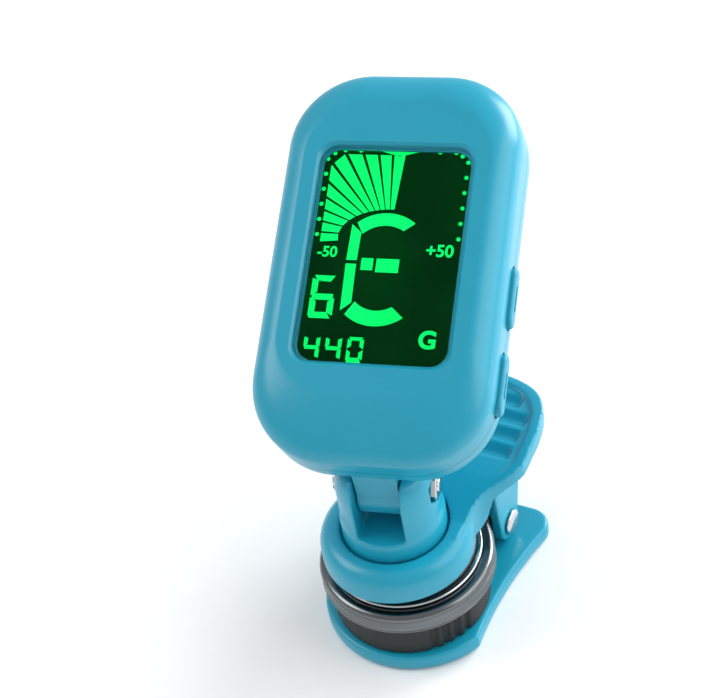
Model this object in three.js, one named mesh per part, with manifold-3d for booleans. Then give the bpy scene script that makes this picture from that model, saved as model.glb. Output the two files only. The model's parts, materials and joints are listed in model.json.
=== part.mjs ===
// Clip-on tuner: a display head on a tilting, swivelling fork, carried by a sprung clip.
// Millimetres, +Z up. The origin is on the swivel axis, at the flat underside of the lower arm.
// +Y runs back to the finger levers, -Y to the tip of the jaws.
import * as THREE from "three";
import { mergeVertices } from "three/addons/utils/BufferGeometryUtils.js";
import Module from "manifold-3d";

const wasm = await Module();
wasm.setup();

// ---------------------------------------------------------------- driving sizes
const fitGap = 0.15;          // between pieces that sit square in each other
const turnGap = 0.3;          // between pieces that turn or slide past each other

// lower arm
const plateThick = 2.6;
const jawTipBulge = 8.2;      // how far the round front edge stands out
const jawTipY = -11.5;
const jawHalfWidth = 12.8;
const waistHalfWidth = 12.4;
const leverHalfWidth = 14;
const leverEndY = 23.1;
const leverCorner = 3.4;
const lugThick = 1.8;
const lugGap = 4.8;           // between the two hinge lugs
const lugRadius = 2.8;

// hinge pin and spring
const hingeY = 16.5;
const hingeZ = 5.9;
const hingePinRadius = 1.1;
const rivetHeadRadius = 2;
const rivetHeadThick = 0.7;
const springWire = 0.8;
const coilTurns = 3.5;

// jaw stack, from the lower pad up
const lowerPadThick = 5.4;
const lowerPadRadius = 12.2;
const lowerPadY = 1.2;
const padRibDepth = 0.6;
const bandRadius = 13.1;
const bandHeight = 3.4;
const bandWall = 0.8;
const bandCentreY = 1.5;
const upperPadThick = 1.6;
const beadRadius = 11.4;
const beadThick = 0.7;
const collarNeckRadius = 10.3;
const neckHeight = 1.9;       // dark neck between the bead and the upper arm

// upper arm
const headRadius = 11.3;      // round jaw of the upper arm
const headHeight = 5.3;
const headFillet = 2.4;
const armSkin = 1.8;
const armWall = 1.5;
const neckHalfWidth = 10;
const neckEndY = 5;
const paddleHalfWidth = 14.2;
const paddleStartY = 14.5;    // where the paddle reaches its full width
const paddleEndY = 30.4;
const paddleRise = 3.3;       // how far the paddle's end stands above the round jaw
const paddleEdge = 2.9;       // height of the paddle's side wall
const earHalfSpan = 9.7;      // outer face of each hinge ear
const earThick = 1.6;
const grooveCount = 4;
const groovePitch = 3.2;
const grooveRadius = 1.5;
const grooveDepth = 0.55;

// swivelling fork
const forkRadius = 7.7;
const forkWaistRadius = 7.4;  // at the tilt screw
const screwPocket = 1.18;     // depth of the pockets for the screw head and the nut
const seatDepth = 0.8;
const slotWidth = 6.9;
const slotFloor = 3;          // above the top of the round jaw
const tiltHeight = 8.4;       // tilt axis above the top of the round jaw
const forkTop = 4.6;          // above the tilt axis
const bossRadius = 2.5;
const swivelTurn = 13.3;      // degrees, pose of the swivel in which the part is modelled
const tiltBack = 62;          // degrees from upright

// screws
const tiltScrewRadius = 1;
const tiltHeadRadius = 1.9;
const tiltHeadThick = 1.3;
const nutAcrossFlats = 4;
const swivelScrewRadius = 1.1;
const swivelHeadRadius = 2.3;
const swivelHeadThick = 1.4;
const washerRadius = 3.9;
const washerThick = 0.5;

// display head, measured from the tilt axis: x across, z up the head, -y out of the face
const bodyWidth = 34;
const bodyHeight = 57.9;
const bodyBottom = -1.8;
const bodyDepth = 11.9;
const faceReach = 18.5;       // face in front of the tilt axis
const frontDepth = 7.7;       // face back to the parting line
const bodyCorner = 11.4;
const shellWall = 1.5;
const faceWall = 2;
const rearWall = 1.4;
const frontBevel = 3.2;
const rearBevel = 1.8;
const rearInnerBevel = 0.6;
const windowWidth = 22.1;
const windowHeight = 32.3;
const windowBottom = 11.4;
const windowCorner = 2.6;
const windowThick = 0.8;
const windowRecess = 0.2;
const windowLedge = 0.9;
const tongueRadius = 4.5;

// what the head holds
const lcdMargin = 1.25;
const lcdThick = 1.7;
const diffuserThick = 1.2;
const boardThick = 1;
const boardWidth = 26.8;
const boardGap = 0.3;
const zebraHeight = 1.6;
const cellRadius = 10;
const cellThick = 3.2;
const cellUp = 33;
const contactThick = 0.25;
const wellWall = 1;
const coverThick = 1.2;
const coinSlotWidth = 1.4;
const coinSlotLength = 11;
const coinSlotDepth = 0.6;
const buttonLength = 8.8;
const buttonWidth = 2.9;
const buttonProud = 0.7;
const buttonFlange = 0.7;
const buttonFlangeLip = 0.7;  // how far the flange reaches past the button
const buttonTravel = 0.4;
const powerButtonUp = 24.4;
const modeButtonUp = 11.8;
const switchDepth = 1.8;
const housingScrewRadius = 0.85;
const housingScrewHead = 1.7;
const housingScrewLength = 6.4;
const housingBossRadius = 2.3;
const screwInset = 6.4;
const piezoRadius = 6;
const piezoThick = 0.35;

// ---------------------------------------------------------------- places worked out from them
const lowerPadBottom = plateThick + fitGap;
const lowerPadTop = lowerPadBottom + lowerPadThick;
const upperPadBottom = lowerPadTop + turnGap;
const bandBottom = upperPadBottom + fitGap;
const bandTop = bandBottom + bandHeight;
const armBottom = bandTop + beadThick + neckHeight;
const armTop = armBottom + headHeight;
const seatFloorZ = armTop - seatDepth;
const skinBottom = seatFloorZ - armSkin;
const tiltZ = armTop + tiltHeight;
const earRadius = hingeZ - plateThick - turnGap;
const slotHalf = slotWidth / 2;
const faceY = -faceReach;
const partingY = faceY + frontDepth;
const rearY = faceY + bodyDepth;
const bodyMiddle = bodyBottom + bodyHeight / 2;
const bodyTop = bodyBottom + bodyHeight;
const windowMiddle = windowBottom + windowHeight / 2;
const lcdFront = faceY + faceWall + fitGap;
const lcdBack = lcdFront + lcdThick;
const diffuserBack = lcdBack + fitGap + diffuserThick;
const boardFront = diffuserBack + boardGap;
const boardBack = boardFront + boardThick;
const lcdWidth = windowWidth + 2 * lcdMargin;
const lcdHeight = windowHeight + 2 * lcdMargin;
const lcdBottom = windowMiddle - lcdHeight / 2;
const lcdTop = windowMiddle + lcdHeight / 2;
const cellFront = boardBack + contactThick + 2 * fitGap;
const cellBack = cellFront + cellThick;
const wellRadius = cellRadius + 2 * contactThick + 2 * fitGap;
const coverRadius = wellRadius + wellWall + turnGap;
const buttonY = partingY;
const flangeOuterX = bodyWidth / 2 - shellWall - fitGap;
const switchTipX = flangeOuterX - buttonFlange - buttonTravel - 0.05;
const screwX = bodyWidth / 2 - screwInset;
const screwUps = [bodyBottom + screwInset, bodyTop - screwInset];

// ---------------------------------------------------------------- solids and joins
function volumeOf(vertices, triangles) {
  let total = 0;
  const [a, b, c] = [new THREE.Vector3(), new THREE.Vector3(), new THREE.Vector3()];
  for (let i = 0; i < triangles.length; i += 3) {
    a.fromArray(vertices, 3 * triangles[i]);
    b.fromArray(vertices, 3 * triangles[i + 1]);
    c.fromArray(vertices, 3 * triangles[i + 2]);
    total += a.dot(b.cross(c));
  }
  return total;
}

function solid(geometry) {
  const bare = geometry.clone();
  bare.deleteAttribute("normal");
  bare.deleteAttribute("uv");
  const merged = mergeVertices(bare, 1e-4);
  const index = merged.index.array;
  const triangles = [];
  for (let i = 0; i < index.length; i += 3) {
    const [a, b, c] = [index[i], index[i + 1], index[i + 2]];
    if (a !== b && b !== c && c !== a) triangles.push(a, b, c);
  }
  const vertices = new Float32Array(merged.attributes.position.array);
  if (volumeOf(vertices, triangles) < 0) triangles.reverse();
  const mesh = new wasm.Mesh({
    numProp: 3,
    vertProperties: vertices,
    triVerts: new Uint32Array(triangles),
  });
  return new wasm.Manifold(mesh);
}

function joinAll(solids) {
  return solids.reduce((whole, next) => whole.add(next));
}

function cutAll(whole, solids) {
  return solids.reduce((rest, next) => rest.subtract(next), whole);
}

function geometryOf(shape) {
  const mesh = shape.getMesh();
  const geometry = new THREE.BufferGeometry();
  geometry.setAttribute("position", new THREE.BufferAttribute(mesh.vertProperties, 3));
  geometry.setIndex(new THREE.BufferAttribute(mesh.triVerts, 1));
  geometry.computeVertexNormals();
  return geometry;
}

function piece(name, shape, color, roughness, metalness = 0) {
  const material = new THREE.MeshStandardMaterial({ color, roughness, metalness });
  const mesh = new THREE.Mesh(geometryOf(shape), material);
  mesh.name = name;
  return mesh;
}

// ---------------------------------------------------------------- simple shapes
function box(x0, x1, y0, y1, z0, z1) {
  const geometry = new THREE.BoxGeometry(x1 - x0, y1 - y0, z1 - z0);
  geometry.translate((x0 + x1) / 2, (y0 + y1) / 2, (z0 + z1) / 2);
  return solid(geometry);
}

function extruded(outline, depth, options = {}) {
  const settings = { depth, bevelEnabled: false, curveSegments: 4, ...options };
  return new THREE.ExtrudeGeometry(outline, settings);
}

// outline in (x, y), from z0 up to z1
function upright(outline, z0, z1, options) {
  const geometry = extruded(outline, z1 - z0, options);
  geometry.translate(0, 0, z0);
  return solid(geometry);
}

// outline in (x, z), from yBack forward to yFront, which is the smaller number
function facing(outline, yBack, yFront, options) {
  const geometry = extruded(outline, yBack - yFront, options);
  geometry.rotateX(Math.PI / 2);
  geometry.translate(0, yBack, 0);
  return solid(geometry);
}

// outline in (y, z), from x0 to x1
function sideways(outline, x0, x1) {
  const geometry = extruded(outline, x1 - x0);
  const turn = new THREE.Matrix4().makeBasis(
    new THREE.Vector3(0, 1, 0), new THREE.Vector3(0, 0, 1), new THREE.Vector3(1, 0, 0));
  geometry.applyMatrix4(turn);
  geometry.translate(x0, 0, 0);
  return solid(geometry);
}

// profile of [radius, height] pairs turned about a vertical axis at (0, y)
function turned(profile, y = 0, segments = 48) {
  const points = profile.map(([r, z]) => new THREE.Vector2(r, z));
  const geometry = new THREE.LatheGeometry(points, segments);
  geometry.rotateX(Math.PI / 2);
  geometry.translate(0, y, 0);
  return solid(geometry);
}

function rodZ(radius, z0, z1, x = 0, y = 0, segments = 24) {
  const geometry = new THREE.CylinderGeometry(radius, radius, z1 - z0, segments);
  geometry.rotateX(Math.PI / 2);
  geometry.translate(x, y, (z0 + z1) / 2);
  return solid(geometry);
}

function rodX(radius, x0, x1, y, z, segments = 24) {
  const geometry = new THREE.CylinderGeometry(radius, radius, x1 - x0, segments);
  geometry.rotateZ(Math.PI / 2);
  geometry.translate((x0 + x1) / 2, y, z);
  return solid(geometry);
}

function rodY(radius, y0, y1, x, z, segments = 24) {
  const geometry = new THREE.CylinderGeometry(radius, radius, y1 - y0, segments);
  geometry.translate(x, (y0 + y1) / 2, z);
  return solid(geometry);
}

function roundedRect(width, height, radius, cx = 0, cy = 0) {
  const x = width / 2 - radius;
  const y = height / 2 - radius;
  const outline = new THREE.Shape();
  outline.absarc(cx + x, cy + y, radius, 0, Math.PI / 2);
  outline.absarc(cx - x, cy + y, radius, Math.PI / 2, Math.PI);
  outline.absarc(cx - x, cy - y, radius, Math.PI, 1.5 * Math.PI);
  outline.absarc(cx + x, cy - y, radius, 1.5 * Math.PI, 2 * Math.PI);
  return outline;
}

function polygon(points) {
  return new THREE.Shape(points.map(([a, b]) => new THREE.Vector2(a, b)));
}

// ---------------------------------------------------------------- lower arm
function lowerOutline(inset) {
  const half = jawHalfWidth - inset;
  const tip = (half * half + jawTipBulge * jawTipBulge) / (2 * jawTipBulge);
  const centreY = jawTipY + inset + tip;
  const spread = Math.asin(half / tip);
  const lever = leverHalfWidth - inset;
  const end = leverEndY - inset;
  const bow = 2 * (waistHalfWidth - inset) - (half + lever) / 2;
  const frontY = jawTipY + inset + jawTipBulge;
  const cornerY = end - leverCorner;
  const outline = new THREE.Shape();
  outline.absarc(0, centreY, tip, -Math.PI / 2 - spread, -Math.PI / 2 + spread);
  outline.quadraticCurveTo(bow, (frontY + cornerY) / 2, lever, cornerY);
  outline.absarc(lever - leverCorner, cornerY, leverCorner, 0, Math.PI / 2);
  outline.absarc(-lever + leverCorner, cornerY, leverCorner, Math.PI / 2, Math.PI);
  outline.quadraticCurveTo(-bow, (frontY + cornerY) / 2, -half, frontY);
  return outline;
}

function hingeLug(x0, x1) {
  const outline = new THREE.Shape();
  outline.moveTo(hingeY - lugRadius, plateThick - 1);
  outline.lineTo(hingeY + lugRadius, plateThick - 1);
  outline.absarc(hingeY, hingeZ, lugRadius, 0, Math.PI);
  return sideways(outline, x0, x1);
}

function lowerArm() {
  const half = lugGap / 2;
  const body = joinAll([
    upright(lowerOutline(0), 0, plateThick, { curveSegments: 8 }),
    hingeLug(half, half + lugThick),
    hingeLug(-half - lugThick, -half),
  ]);
  const bore = rodX(hingePinRadius + fitGap, -half - lugThick - 1, half + lugThick + 1, hingeY, hingeZ);
  return piece("lower_arm", body.subtract(bore), "#2fa9cd", 0.42);
}

// a thick rubber disc with upright grooves at the two front corners
function lowerPad() {
  const disc = rodZ(lowerPadRadius, lowerPadBottom, lowerPadTop, 0, lowerPadY, 40);
  const grooves = [];
  for (let i = 0; i < 4; i += 1) {
    const angle = THREE.MathUtils.degToRad(-20 - 9 * i);
    const y = lowerPadY + lowerPadRadius * Math.sin(angle);
    for (const x of [-1, 1].map((side) => side * lowerPadRadius * Math.cos(angle))) {
      grooves.push(rodZ(padRibDepth, lowerPadBottom - 1, lowerPadTop + 1, x, y, 8));
    }
  }
  return piece("lower_pad", cutAll(disc, grooves), "#23282b", 0.8);
}

// ---------------------------------------------------------------- hinge pin and spring
function hingePin() {
  const outer = earHalfSpan + fitGap;
  const body = rodX(hingePinRadius, -outer - rivetHeadThick - 0.2, outer, hingeY, hingeZ);
  const head = rodX(rivetHeadRadius, outer, outer + rivetHeadThick, hingeY, hingeZ);
  return piece("hinge_pin", body.add(head), "#b9bec2", 0.3, 1);
}

function pinRetainer() {
  const outer = earHalfSpan + fitGap;
  const ring = rodX(rivetHeadRadius, -outer - rivetHeadThick, -outer, hingeY, hingeZ);
  const bore = rodX(hingePinRadius + fitGap, -outer - 2, -outer + 1, hingeY, hingeZ);
  return piece("hinge_pin_retainer", ring.subtract(bore), "#b9bec2", 0.35, 1);
}

// one wire: a leg under the paddle, a coil, a bridge behind the lugs, a second coil, a second leg
class SpringWire extends THREE.Curve {
  constructor() {
    super();
    const inner = lugGap / 2 + lugThick + turnGap + springWire / 2;
    const outer = earHalfSpan - earThick - turnGap - springWire / 2;
    const mean = hingePinRadius + turnGap + springWire / 2;
    const restZ = plateThick + turnGap + springWire / 2;
    const legY = hingeY + 7;
    const points = [];
    const coil = [];
    const steps = Math.round(coilTurns * 10);
    for (let i = 0; i <= steps; i += 1) {
      const turn = -Math.PI / 2 + 2 * Math.PI * coilTurns * (i / steps);
      const x = inner + (outer - inner) * (i / steps);
      coil.push(new THREE.Vector3(x, hingeY + mean * Math.cos(turn), hingeZ + mean * Math.sin(turn)));
    }
    const legEnd = new THREE.Vector3(outer, legY - 0.5, hingeZ + 10.4);
    const legMid = new THREE.Vector3(outer, hingeY + 3.6, hingeZ + mean + 2.4);
    const bridge = new THREE.Vector3(inner, legY - 1, restZ);
    const bridgeEnd = new THREE.Vector3(inner - 1.2, legY, restZ);
    const rise = new THREE.Vector3(inner, hingeY + mean + springWire, (restZ + hingeZ - mean) / 2);
    const half = [bridgeEnd, bridge, rise, ...coil, legMid, legEnd];
    const flip = (p) => new THREE.Vector3(-p.x, p.y, p.z);
    points.push(...half.map(flip).reverse(), ...half);
    this.path = new THREE.CatmullRomCurve3(points, false, "centripetal");
  }

  getPoint(t, target = new THREE.Vector3()) {
    return this.path.getPoint(t, target);
  }
}

function torsionSpring() {
  const section = new THREE.Shape();
  const sides = 7;
  for (let i = 0; i < sides; i += 1) {
    const angle = (2 * Math.PI * i) / sides;
    const [x, y] = [(springWire / 2) * Math.cos(angle), (springWire / 2) * Math.sin(angle)];
    if (i === 0) section.moveTo(x, y);
    else section.lineTo(x, y);
  }
  const wire = new THREE.ExtrudeGeometry(section, {
    extrudePath: new SpringWire(), steps: 150, bevelEnabled: false, curveSegments: 1,
  });
  return piece("torsion_spring", solid(wire), "#3a3d40", 0.4, 0.9);
}

// ---------------------------------------------------------------- jaw stack under the upper arm
function jawBand() {
  const inner = bandRadius - bandWall;
  const lip = bandRadius - 1.6;
  return piece("jaw_band", turned([
    [inner, bandBottom], [bandRadius, bandBottom], [bandRadius, bandTop - 0.9],
    [bandRadius - 0.15, bandTop - 0.45], [bandRadius - 0.5, bandTop - 0.12], [bandRadius - 0.9, bandTop],
    [lip, bandTop], [lip, bandTop - 0.5], [inner, bandTop - 0.9], [inner, bandBottom],
  ], bandCentreY), "#8d9296", 0.35, 1);
}

function jawBead() {
  const low = bandTop + 0.12;
  const inner = beadRadius - beadThick;
  return piece("jaw_bead", turned([
    [inner, low], [beadRadius - 0.1, low], [beadRadius, low + 0.25], [beadRadius - 0.1, low + 0.45],
    [beadRadius - 0.3, low + 0.55], [inner, low + 0.55], [inner, low],
  ], bandCentreY), "#c8ccce", 0.2, 1);
}

function jawCollar() {
  const under = bandRadius - bandWall - fitGap;
  const low = upperPadBottom + upperPadThick + fitGap;
  const throat = beadRadius - beadThick - fitGap;
  return piece("jaw_collar", turned([
    [0, low], [under, low], [under, bandTop - 1.1], [bandRadius - 1.6 - fitGap, bandTop - 0.65],
    [bandRadius - 1.6 - fitGap, bandTop - 0.05], [throat, bandTop - 0.05],
    [throat, bandTop + 0.9], [collarNeckRadius, bandTop + 1.2], [collarNeckRadius, armBottom - fitGap],
    [0, armBottom - fitGap],
  ], bandCentreY), "#15181a", 0.5);
}

function upperPad() {
  const radius = bandRadius - bandWall - fitGap;
  return piece("upper_pad", turned([
    [0, upperPadBottom], [radius - 0.5, upperPadBottom], [radius, upperPadBottom + 0.5],
    [radius, upperPadBottom + upperPadThick], [0, upperPadBottom + upperPadThick],
  ], bandCentreY), "#1d2123", 0.8);
}

// ---------------------------------------------------------------- upper arm
function armPlan(inset) {
  const neck = neckHalfWidth - inset;
  const wide = paddleHalfWidth - inset;
  const end = paddleEndY - inset;
  const outline = new THREE.Shape();
  const flareY = (neckEndY + paddleStartY) / 2;
  const roundY = end - 3.4;
  outline.moveTo(-neck, 0);
  outline.lineTo(neck, 0);
  outline.lineTo(neck, neckEndY);
  outline.bezierCurveTo(neck, flareY, wide - 1, flareY + 0.7, wide, paddleStartY);
  outline.bezierCurveTo(wide, roundY, wide - 1.5, end, 0, end);
  outline.bezierCurveTo(-wide + 1.5, end, -wide, roundY, -wide, paddleStartY);
  outline.bezierCurveTo(-wide + 1, flareY + 0.7, -neck, flareY, -neck, neckEndY);
  return outline;
}

function armTopLine(drop) {
  const top = armTop - drop;
  return [[4, top], [8, top + 0.12 * paddleRise], [12, top + 0.35 * paddleRise], [16, top + 0.6 * paddleRise],
    [21, top + 0.8 * paddleRise], [26, top + 0.93 * paddleRise], [paddleEndY + 1, top + paddleRise]];
}

function armSide() {
  const low = armTop + paddleRise - paddleEdge;
  return polygon([
    [-1, armBottom], [7.2, armBottom], [8.4, armBottom + 0.8], [9.6, low - 1.9], [11.4, low - 1],
    [15, low - 0.7], [22, low - 0.3], [paddleEndY + 1, low],
    ...armTopLine(0).reverse(), [-1, armTop],
  ]);
}

function hingeEar(x0, x1) {
  const root = armTop - 0.5 * armSkin;       // the ears start inside the arm's skin
  const outline = new THREE.Shape();
  outline.moveTo(hingeY + 8, root + 0.85 * paddleRise);
  outline.lineTo(hingeY - 3.2, root + 0.4 * paddleRise);
  outline.absarc(hingeY, hingeZ, earRadius, Math.PI, 2 * Math.PI + 0.4);
  return sideways(outline, x0, x1);
}

function upperArm() {
  const jaw = turned([
    [0, armBottom], [headRadius, armBottom], [headRadius, armTop - headFillet],
    [headRadius - 0.13 * headFillet, armTop - 0.5 * headFillet],
    [headRadius - 0.5 * headFillet, armTop - 0.13 * headFillet], [headRadius - headFillet, armTop], [0, armTop],
  ]);
  const arm = upright(armPlan(0), armBottom - 1, armTop + paddleRise + 1, { curveSegments: 8 })
    .intersect(sideways(armSide(), -paddleHalfWidth - 1, paddleHalfWidth + 1));
  const roof = polygon([
    [3, armBottom - 2], [paddleEndY + 2, armBottom - 2], ...armTopLine(armSkin).reverse(), [3, skinBottom],
  ]);
  const hollow = upright(armPlan(armWall), armBottom - 3, armTop + paddleRise, { curveSegments: 8 })
    .intersect(sideways(roof, -paddleHalfWidth, paddleHalfWidth));
  const jawHollow = rodZ(headRadius - armWall, armBottom - 1, skinBottom, 0, 0, 48);
  const grooves = [];
  for (let i = 0; i < grooveCount; i += 1) {
    const y = paddleEndY - 4.6 - i * groovePitch;
    const top = armTop + paddleRise * (0.8 + 0.2 * (y - 21) / (paddleEndY - 20));
    const reach = paddleHalfWidth - 3.4 - (i === 0 ? 3 : 0);
    grooves.push(rodX(grooveRadius, -reach, reach, y, top + grooveRadius - grooveDepth, 20));
  }
  const inner = earHalfSpan - earThick;
  const body = joinAll([
    cutAll(jaw.add(arm), [jawHollow, hollow]),
    hingeEar(inner, earHalfSpan),
    hingeEar(-earHalfSpan, -inner),
  ]);
  const shape = cutAll(body, [
    rodZ(forkRadius + turnGap, seatFloorZ, armTop + 2, 0, 0, 48),
    rodZ(bossRadius + turnGap, skinBottom - 1, seatFloorZ + 1),
    rodX(hingePinRadius + fitGap, -earHalfSpan - 1, earHalfSpan + 1, hingeY, hingeZ),
    ...grooves,
  ]);
  return piece("upper_arm", shape, "#35b4d8", 0.4);
}

// ---------------------------------------------------------------- fork
function swivelFork() {
  const foot = seatFloorZ + 0.2;
  const post = turned([
    [0, foot], [forkRadius, foot], [forkRadius, armTop + 2.6], [forkWaistRadius, tiltZ],
    [forkWaistRadius - 0.52, tiltZ + 0.62 * forkTop], [forkWaistRadius - 1.17, tiltZ + 0.81 * forkTop],
    [forkWaistRadius - 2.27, tiltZ + 0.96 * forkTop], [0, tiltZ + forkTop],
  ]);
  const boss = rodZ(bossRadius, skinBottom + 0.1, foot + 1);
  const pocket = forkWaistRadius - screwPocket;
  const nutRadius = nutAcrossFlats / Math.sqrt(3) + turnGap;
  const cuts = [
    box(-slotHalf, slotHalf, -forkRadius - 1, forkRadius + 1, armTop + slotFloor, tiltZ + forkTop + 1),
    rodX(tiltScrewRadius + fitGap, -forkRadius - 1, forkRadius + 1, 0, tiltZ),
    rodX(nutRadius, pocket, forkRadius + 1, 0, tiltZ),
    rodX(tiltHeadRadius + turnGap, -forkRadius - 1, -pocket, 0, tiltZ),
    rodZ(swivelScrewRadius + fitGap, skinBottom - 1, skinBottom + 4.4),
  ];
  return piece("swivel_fork", cutAll(post.add(boss), cuts), "#35b0d4", 0.4);
}

function tiltScrew() {
  const seat = forkWaistRadius - screwPocket + 0.1;
  const shank = rodX(tiltScrewRadius, -seat, seat + 1.5, 0, tiltZ, 20);
  const head = rodX(tiltHeadRadius, -seat - tiltHeadThick, -seat, 0, tiltZ);
  const slot = box(-seat - tiltHeadThick - 1, -seat - tiltHeadThick + 0.6, -2.5, 2.5, tiltZ - 0.25, tiltZ + 0.25);
  return piece("tilt_screw", shank.add(head).subtract(slot), "#c4c8cb", 0.25, 1);
}

function tiltNut() {
  const seat = forkWaistRadius - screwPocket + 0.1;
  const hex = rodX(nutAcrossFlats / Math.sqrt(3), seat, seat + 1.3, 0, tiltZ, 6);
  const bore = rodX(tiltScrewRadius + fitGap, seat - 1, seat + 2, 0, tiltZ, 20);
  return piece("tilt_nut", hex.subtract(bore), "#c4c8cb", 0.25, 1);
}

function swivelWasher() {
  const top = skinBottom - fitGap;
  const disc = rodZ(washerRadius, top - washerThick, top, 0, 0, 32);
  const bore = rodZ(swivelScrewRadius + fitGap, top - washerThick - 1, top + 1);
  return piece("swivel_washer", disc.subtract(bore), "#b4b9bd", 0.3, 1);
}

function swivelScrew() {
  const seat = skinBottom - 2 * fitGap - washerThick;
  const head = rodZ(swivelHeadRadius, seat - swivelHeadThick, seat);
  const shank = rodZ(swivelScrewRadius, seat, seat + 4.6, 0, 0, 20);
  const bit = seat - swivelHeadThick;
  const cross = [box(-1.4, 1.4, -0.3, 0.3, bit - 1, bit + 0.7), box(-0.3, 0.3, -1.4, 1.4, bit - 1, bit + 0.7)];
  return piece("swivel_screw", cutAll(head.add(shank), cross), "#b4b9bd", 0.3, 1);
}

// ---------------------------------------------------------------- display head
// a block of the head's outline with its front edge (or its rear edge) rounded over
function pillow(inset, yBack, yFront, roundBack, bevel) {
  const width = bodyWidth - 2 * inset;
  const height = bodyHeight - 2 * inset;
  const outline = roundedRect(width, height, bodyCorner - inset, 0, bodyMiddle);
  const soft = { bevelEnabled: true, bevelThickness: bevel, bevelSize: bevel, bevelOffset: -bevel, bevelSegments: 4 };
  const grown = roundBack ? facing(outline, yBack - bevel, yFront - 2 * bevel, soft)
    : facing(outline, yBack + 2 * bevel, yFront + bevel, soft);
  return grown.intersect(box(-bodyWidth, bodyWidth, yFront, yBack, bodyBottom - 5, bodyTop + 5));
}

function buttonOutline(up, grow) {
  const [length, width] = [buttonLength + 2 * grow, buttonWidth + 2 * grow];
  const outline = new THREE.Shape();
  const reach = (length - width) / 2;
  outline.absarc(buttonY, up + reach, width / 2, 0, Math.PI);
  outline.absarc(buttonY, up - reach, width / 2, Math.PI, 2 * Math.PI);
  return outline;
}

function buttonHoles() {
  return [powerButtonUp, modeButtonUp].flatMap((up) => [
    sideways(buttonOutline(up, turnGap), bodyWidth / 2 - shellWall - 1, bodyWidth / 2 + 2),
    sideways(buttonOutline(up, buttonFlangeLip + turnGap), flangeOuterX - 2 * buttonFlange, flangeOuterX + fitGap),
  ]);
}

function frontHousing() {
  const shell = pillow(0, partingY, faceY, false, frontBevel)
    .subtract(pillow(shellWall, partingY + 1, faceY + faceWall, false, frontBevel));
  const bosses = [];
  const bores = [];
  for (const up of screwUps) {
    for (const x of [-screwX, screwX]) {
      bosses.push(rodY(housingBossRadius, faceY + 1.2, partingY - 0.3, x, up, 16));
      bores.push(rodY(housingScrewRadius + fitGap, partingY - 4.6, partingY + 1, x, up, 12));
    }
  }
  const opening = roundedRect(windowWidth, windowHeight, windowCorner, 0, windowMiddle);
  const through = roundedRect(windowWidth - 2 * windowLedge, windowHeight - 2 * windowLedge,
    windowCorner - windowLedge / 2, 0, windowMiddle);
  const body = joinAll([shell, ...bosses]);
  return piece("front_housing", cutAll(body, [
    ...bores,
    facing(opening, faceY + windowRecess + windowThick + fitGap, faceY - 1),
    facing(through, faceY + faceWall + 1, faceY - 1),
    ...buttonHoles(),
  ]), "#33aed2", 0.38);
}

// the tongue that the fork carries, in (y, z): a nearly upright front, round at the back
function tongueOutline() {
  const outline = new THREE.Shape();
  outline.moveTo(rearY - 1, bodyBottom + 0.4);
  outline.lineTo(-0.3, -tongueRadius);
  outline.absarc(0, 0, tongueRadius, -Math.PI / 2, 0.35);
  outline.lineTo(rearY + 0.2, 9);
  outline.lineTo(rearY - 1, 9);
  return outline;
}

function rearHousing() {
  const back = partingY + 0.12;
  const shell = pillow(0, rearY, back, true, rearBevel)
    .subtract(pillow(shellWall, rearY - rearWall, back - 1, true, rearInnerBevel));
  const well = rodY(wellRadius + wellWall, cellFront + 0.3, rearY - 0.5, 0, cellUp, 40);
  const bosses = [];
  const bores = [];
  for (const up of screwUps) {
    for (const x of [-screwX, screwX]) {
      bosses.push(rodY(housingBossRadius + 0.4, partingY + 0.12, rearY - 0.5, x, up, 16));
      bores.push(rodY(housingScrewHead + fitGap, rearY - 2.4, rearY + 1, x, up, 20));
      bores.push(rodY(housingScrewRadius + fitGap, partingY - 1, rearY, x, up, 12));
    }
  }
  const half = slotHalf - turnGap;
  const body = joinAll([shell, well, ...bosses, sideways(tongueOutline(), -half, half)]);
  return piece("rear_housing", cutAll(body, [
    ...bores,
    rodY(wellRadius, cellFront - 1, rearY + 1, 0, cellUp, 40),
    rodY(coverRadius + turnGap, rearY - coverThick - fitGap, rearY + 1, 0, cellUp, 40),
    rodX(tiltScrewRadius + turnGap, -half - 1, half + 1, 0, 0),
    ...buttonHoles(),
  ]), "#2fa9cd", 0.4);
}

function displayWindow() {
  const gap = fitGap;
  const outline = roundedRect(windowWidth - 2 * gap, windowHeight - 2 * gap, windowCorner - gap, 0, windowMiddle);
  const front = faceY + windowRecess;
  return piece("display_window", facing(outline, front + windowThick, front), "#0a140c", 0.08);
}

function lcdPanel() {
  const outline = roundedRect(lcdWidth, lcdHeight, 0.4, 0, windowMiddle);
  return piece("lcd_panel", facing(outline, lcdBack, lcdFront, { curveSegments: 1 }), "#10301a", 0.3);
}

function backlightDiffuser() {
  const low = lcdBottom + zebraHeight + 0.6;
  return piece("backlight_diffuser",
    box(-lcdWidth / 2, lcdWidth / 2, lcdBack + fitGap, diffuserBack, low, lcdTop), "#bfe8c8", 0.4);
}

function zebraConnector() {
  return piece("zebra_connector", box(-lcdWidth / 2 + 1, lcdWidth / 2 - 1, lcdBack + fitGap,
    boardFront - fitGap, lcdBottom + 0.2, lcdBottom + 0.2 + zebraHeight), "#3b3b3f", 0.7);
}

function circuitBoard() {
  const low = screwUps[0] + housingBossRadius + 0.8;
  const high = screwUps[1] - housingBossRadius - 0.8;
  const outline = roundedRect(boardWidth, high - low, 1, 0, (low + high) / 2);
  return piece("circuit_board", facing(outline, boardBack, boardFront, { curveSegments: 2 }), "#1d5b34", 0.5);
}

function backlightLed(name, x) {
  const up = lcdTop + 0.5;
  return piece(name, box(x - 1.5, x + 1.5, boardFront - 1.3, boardFront - fitGap, up, up + 0.9), "#f0f0d8", 0.3);
}

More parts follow.
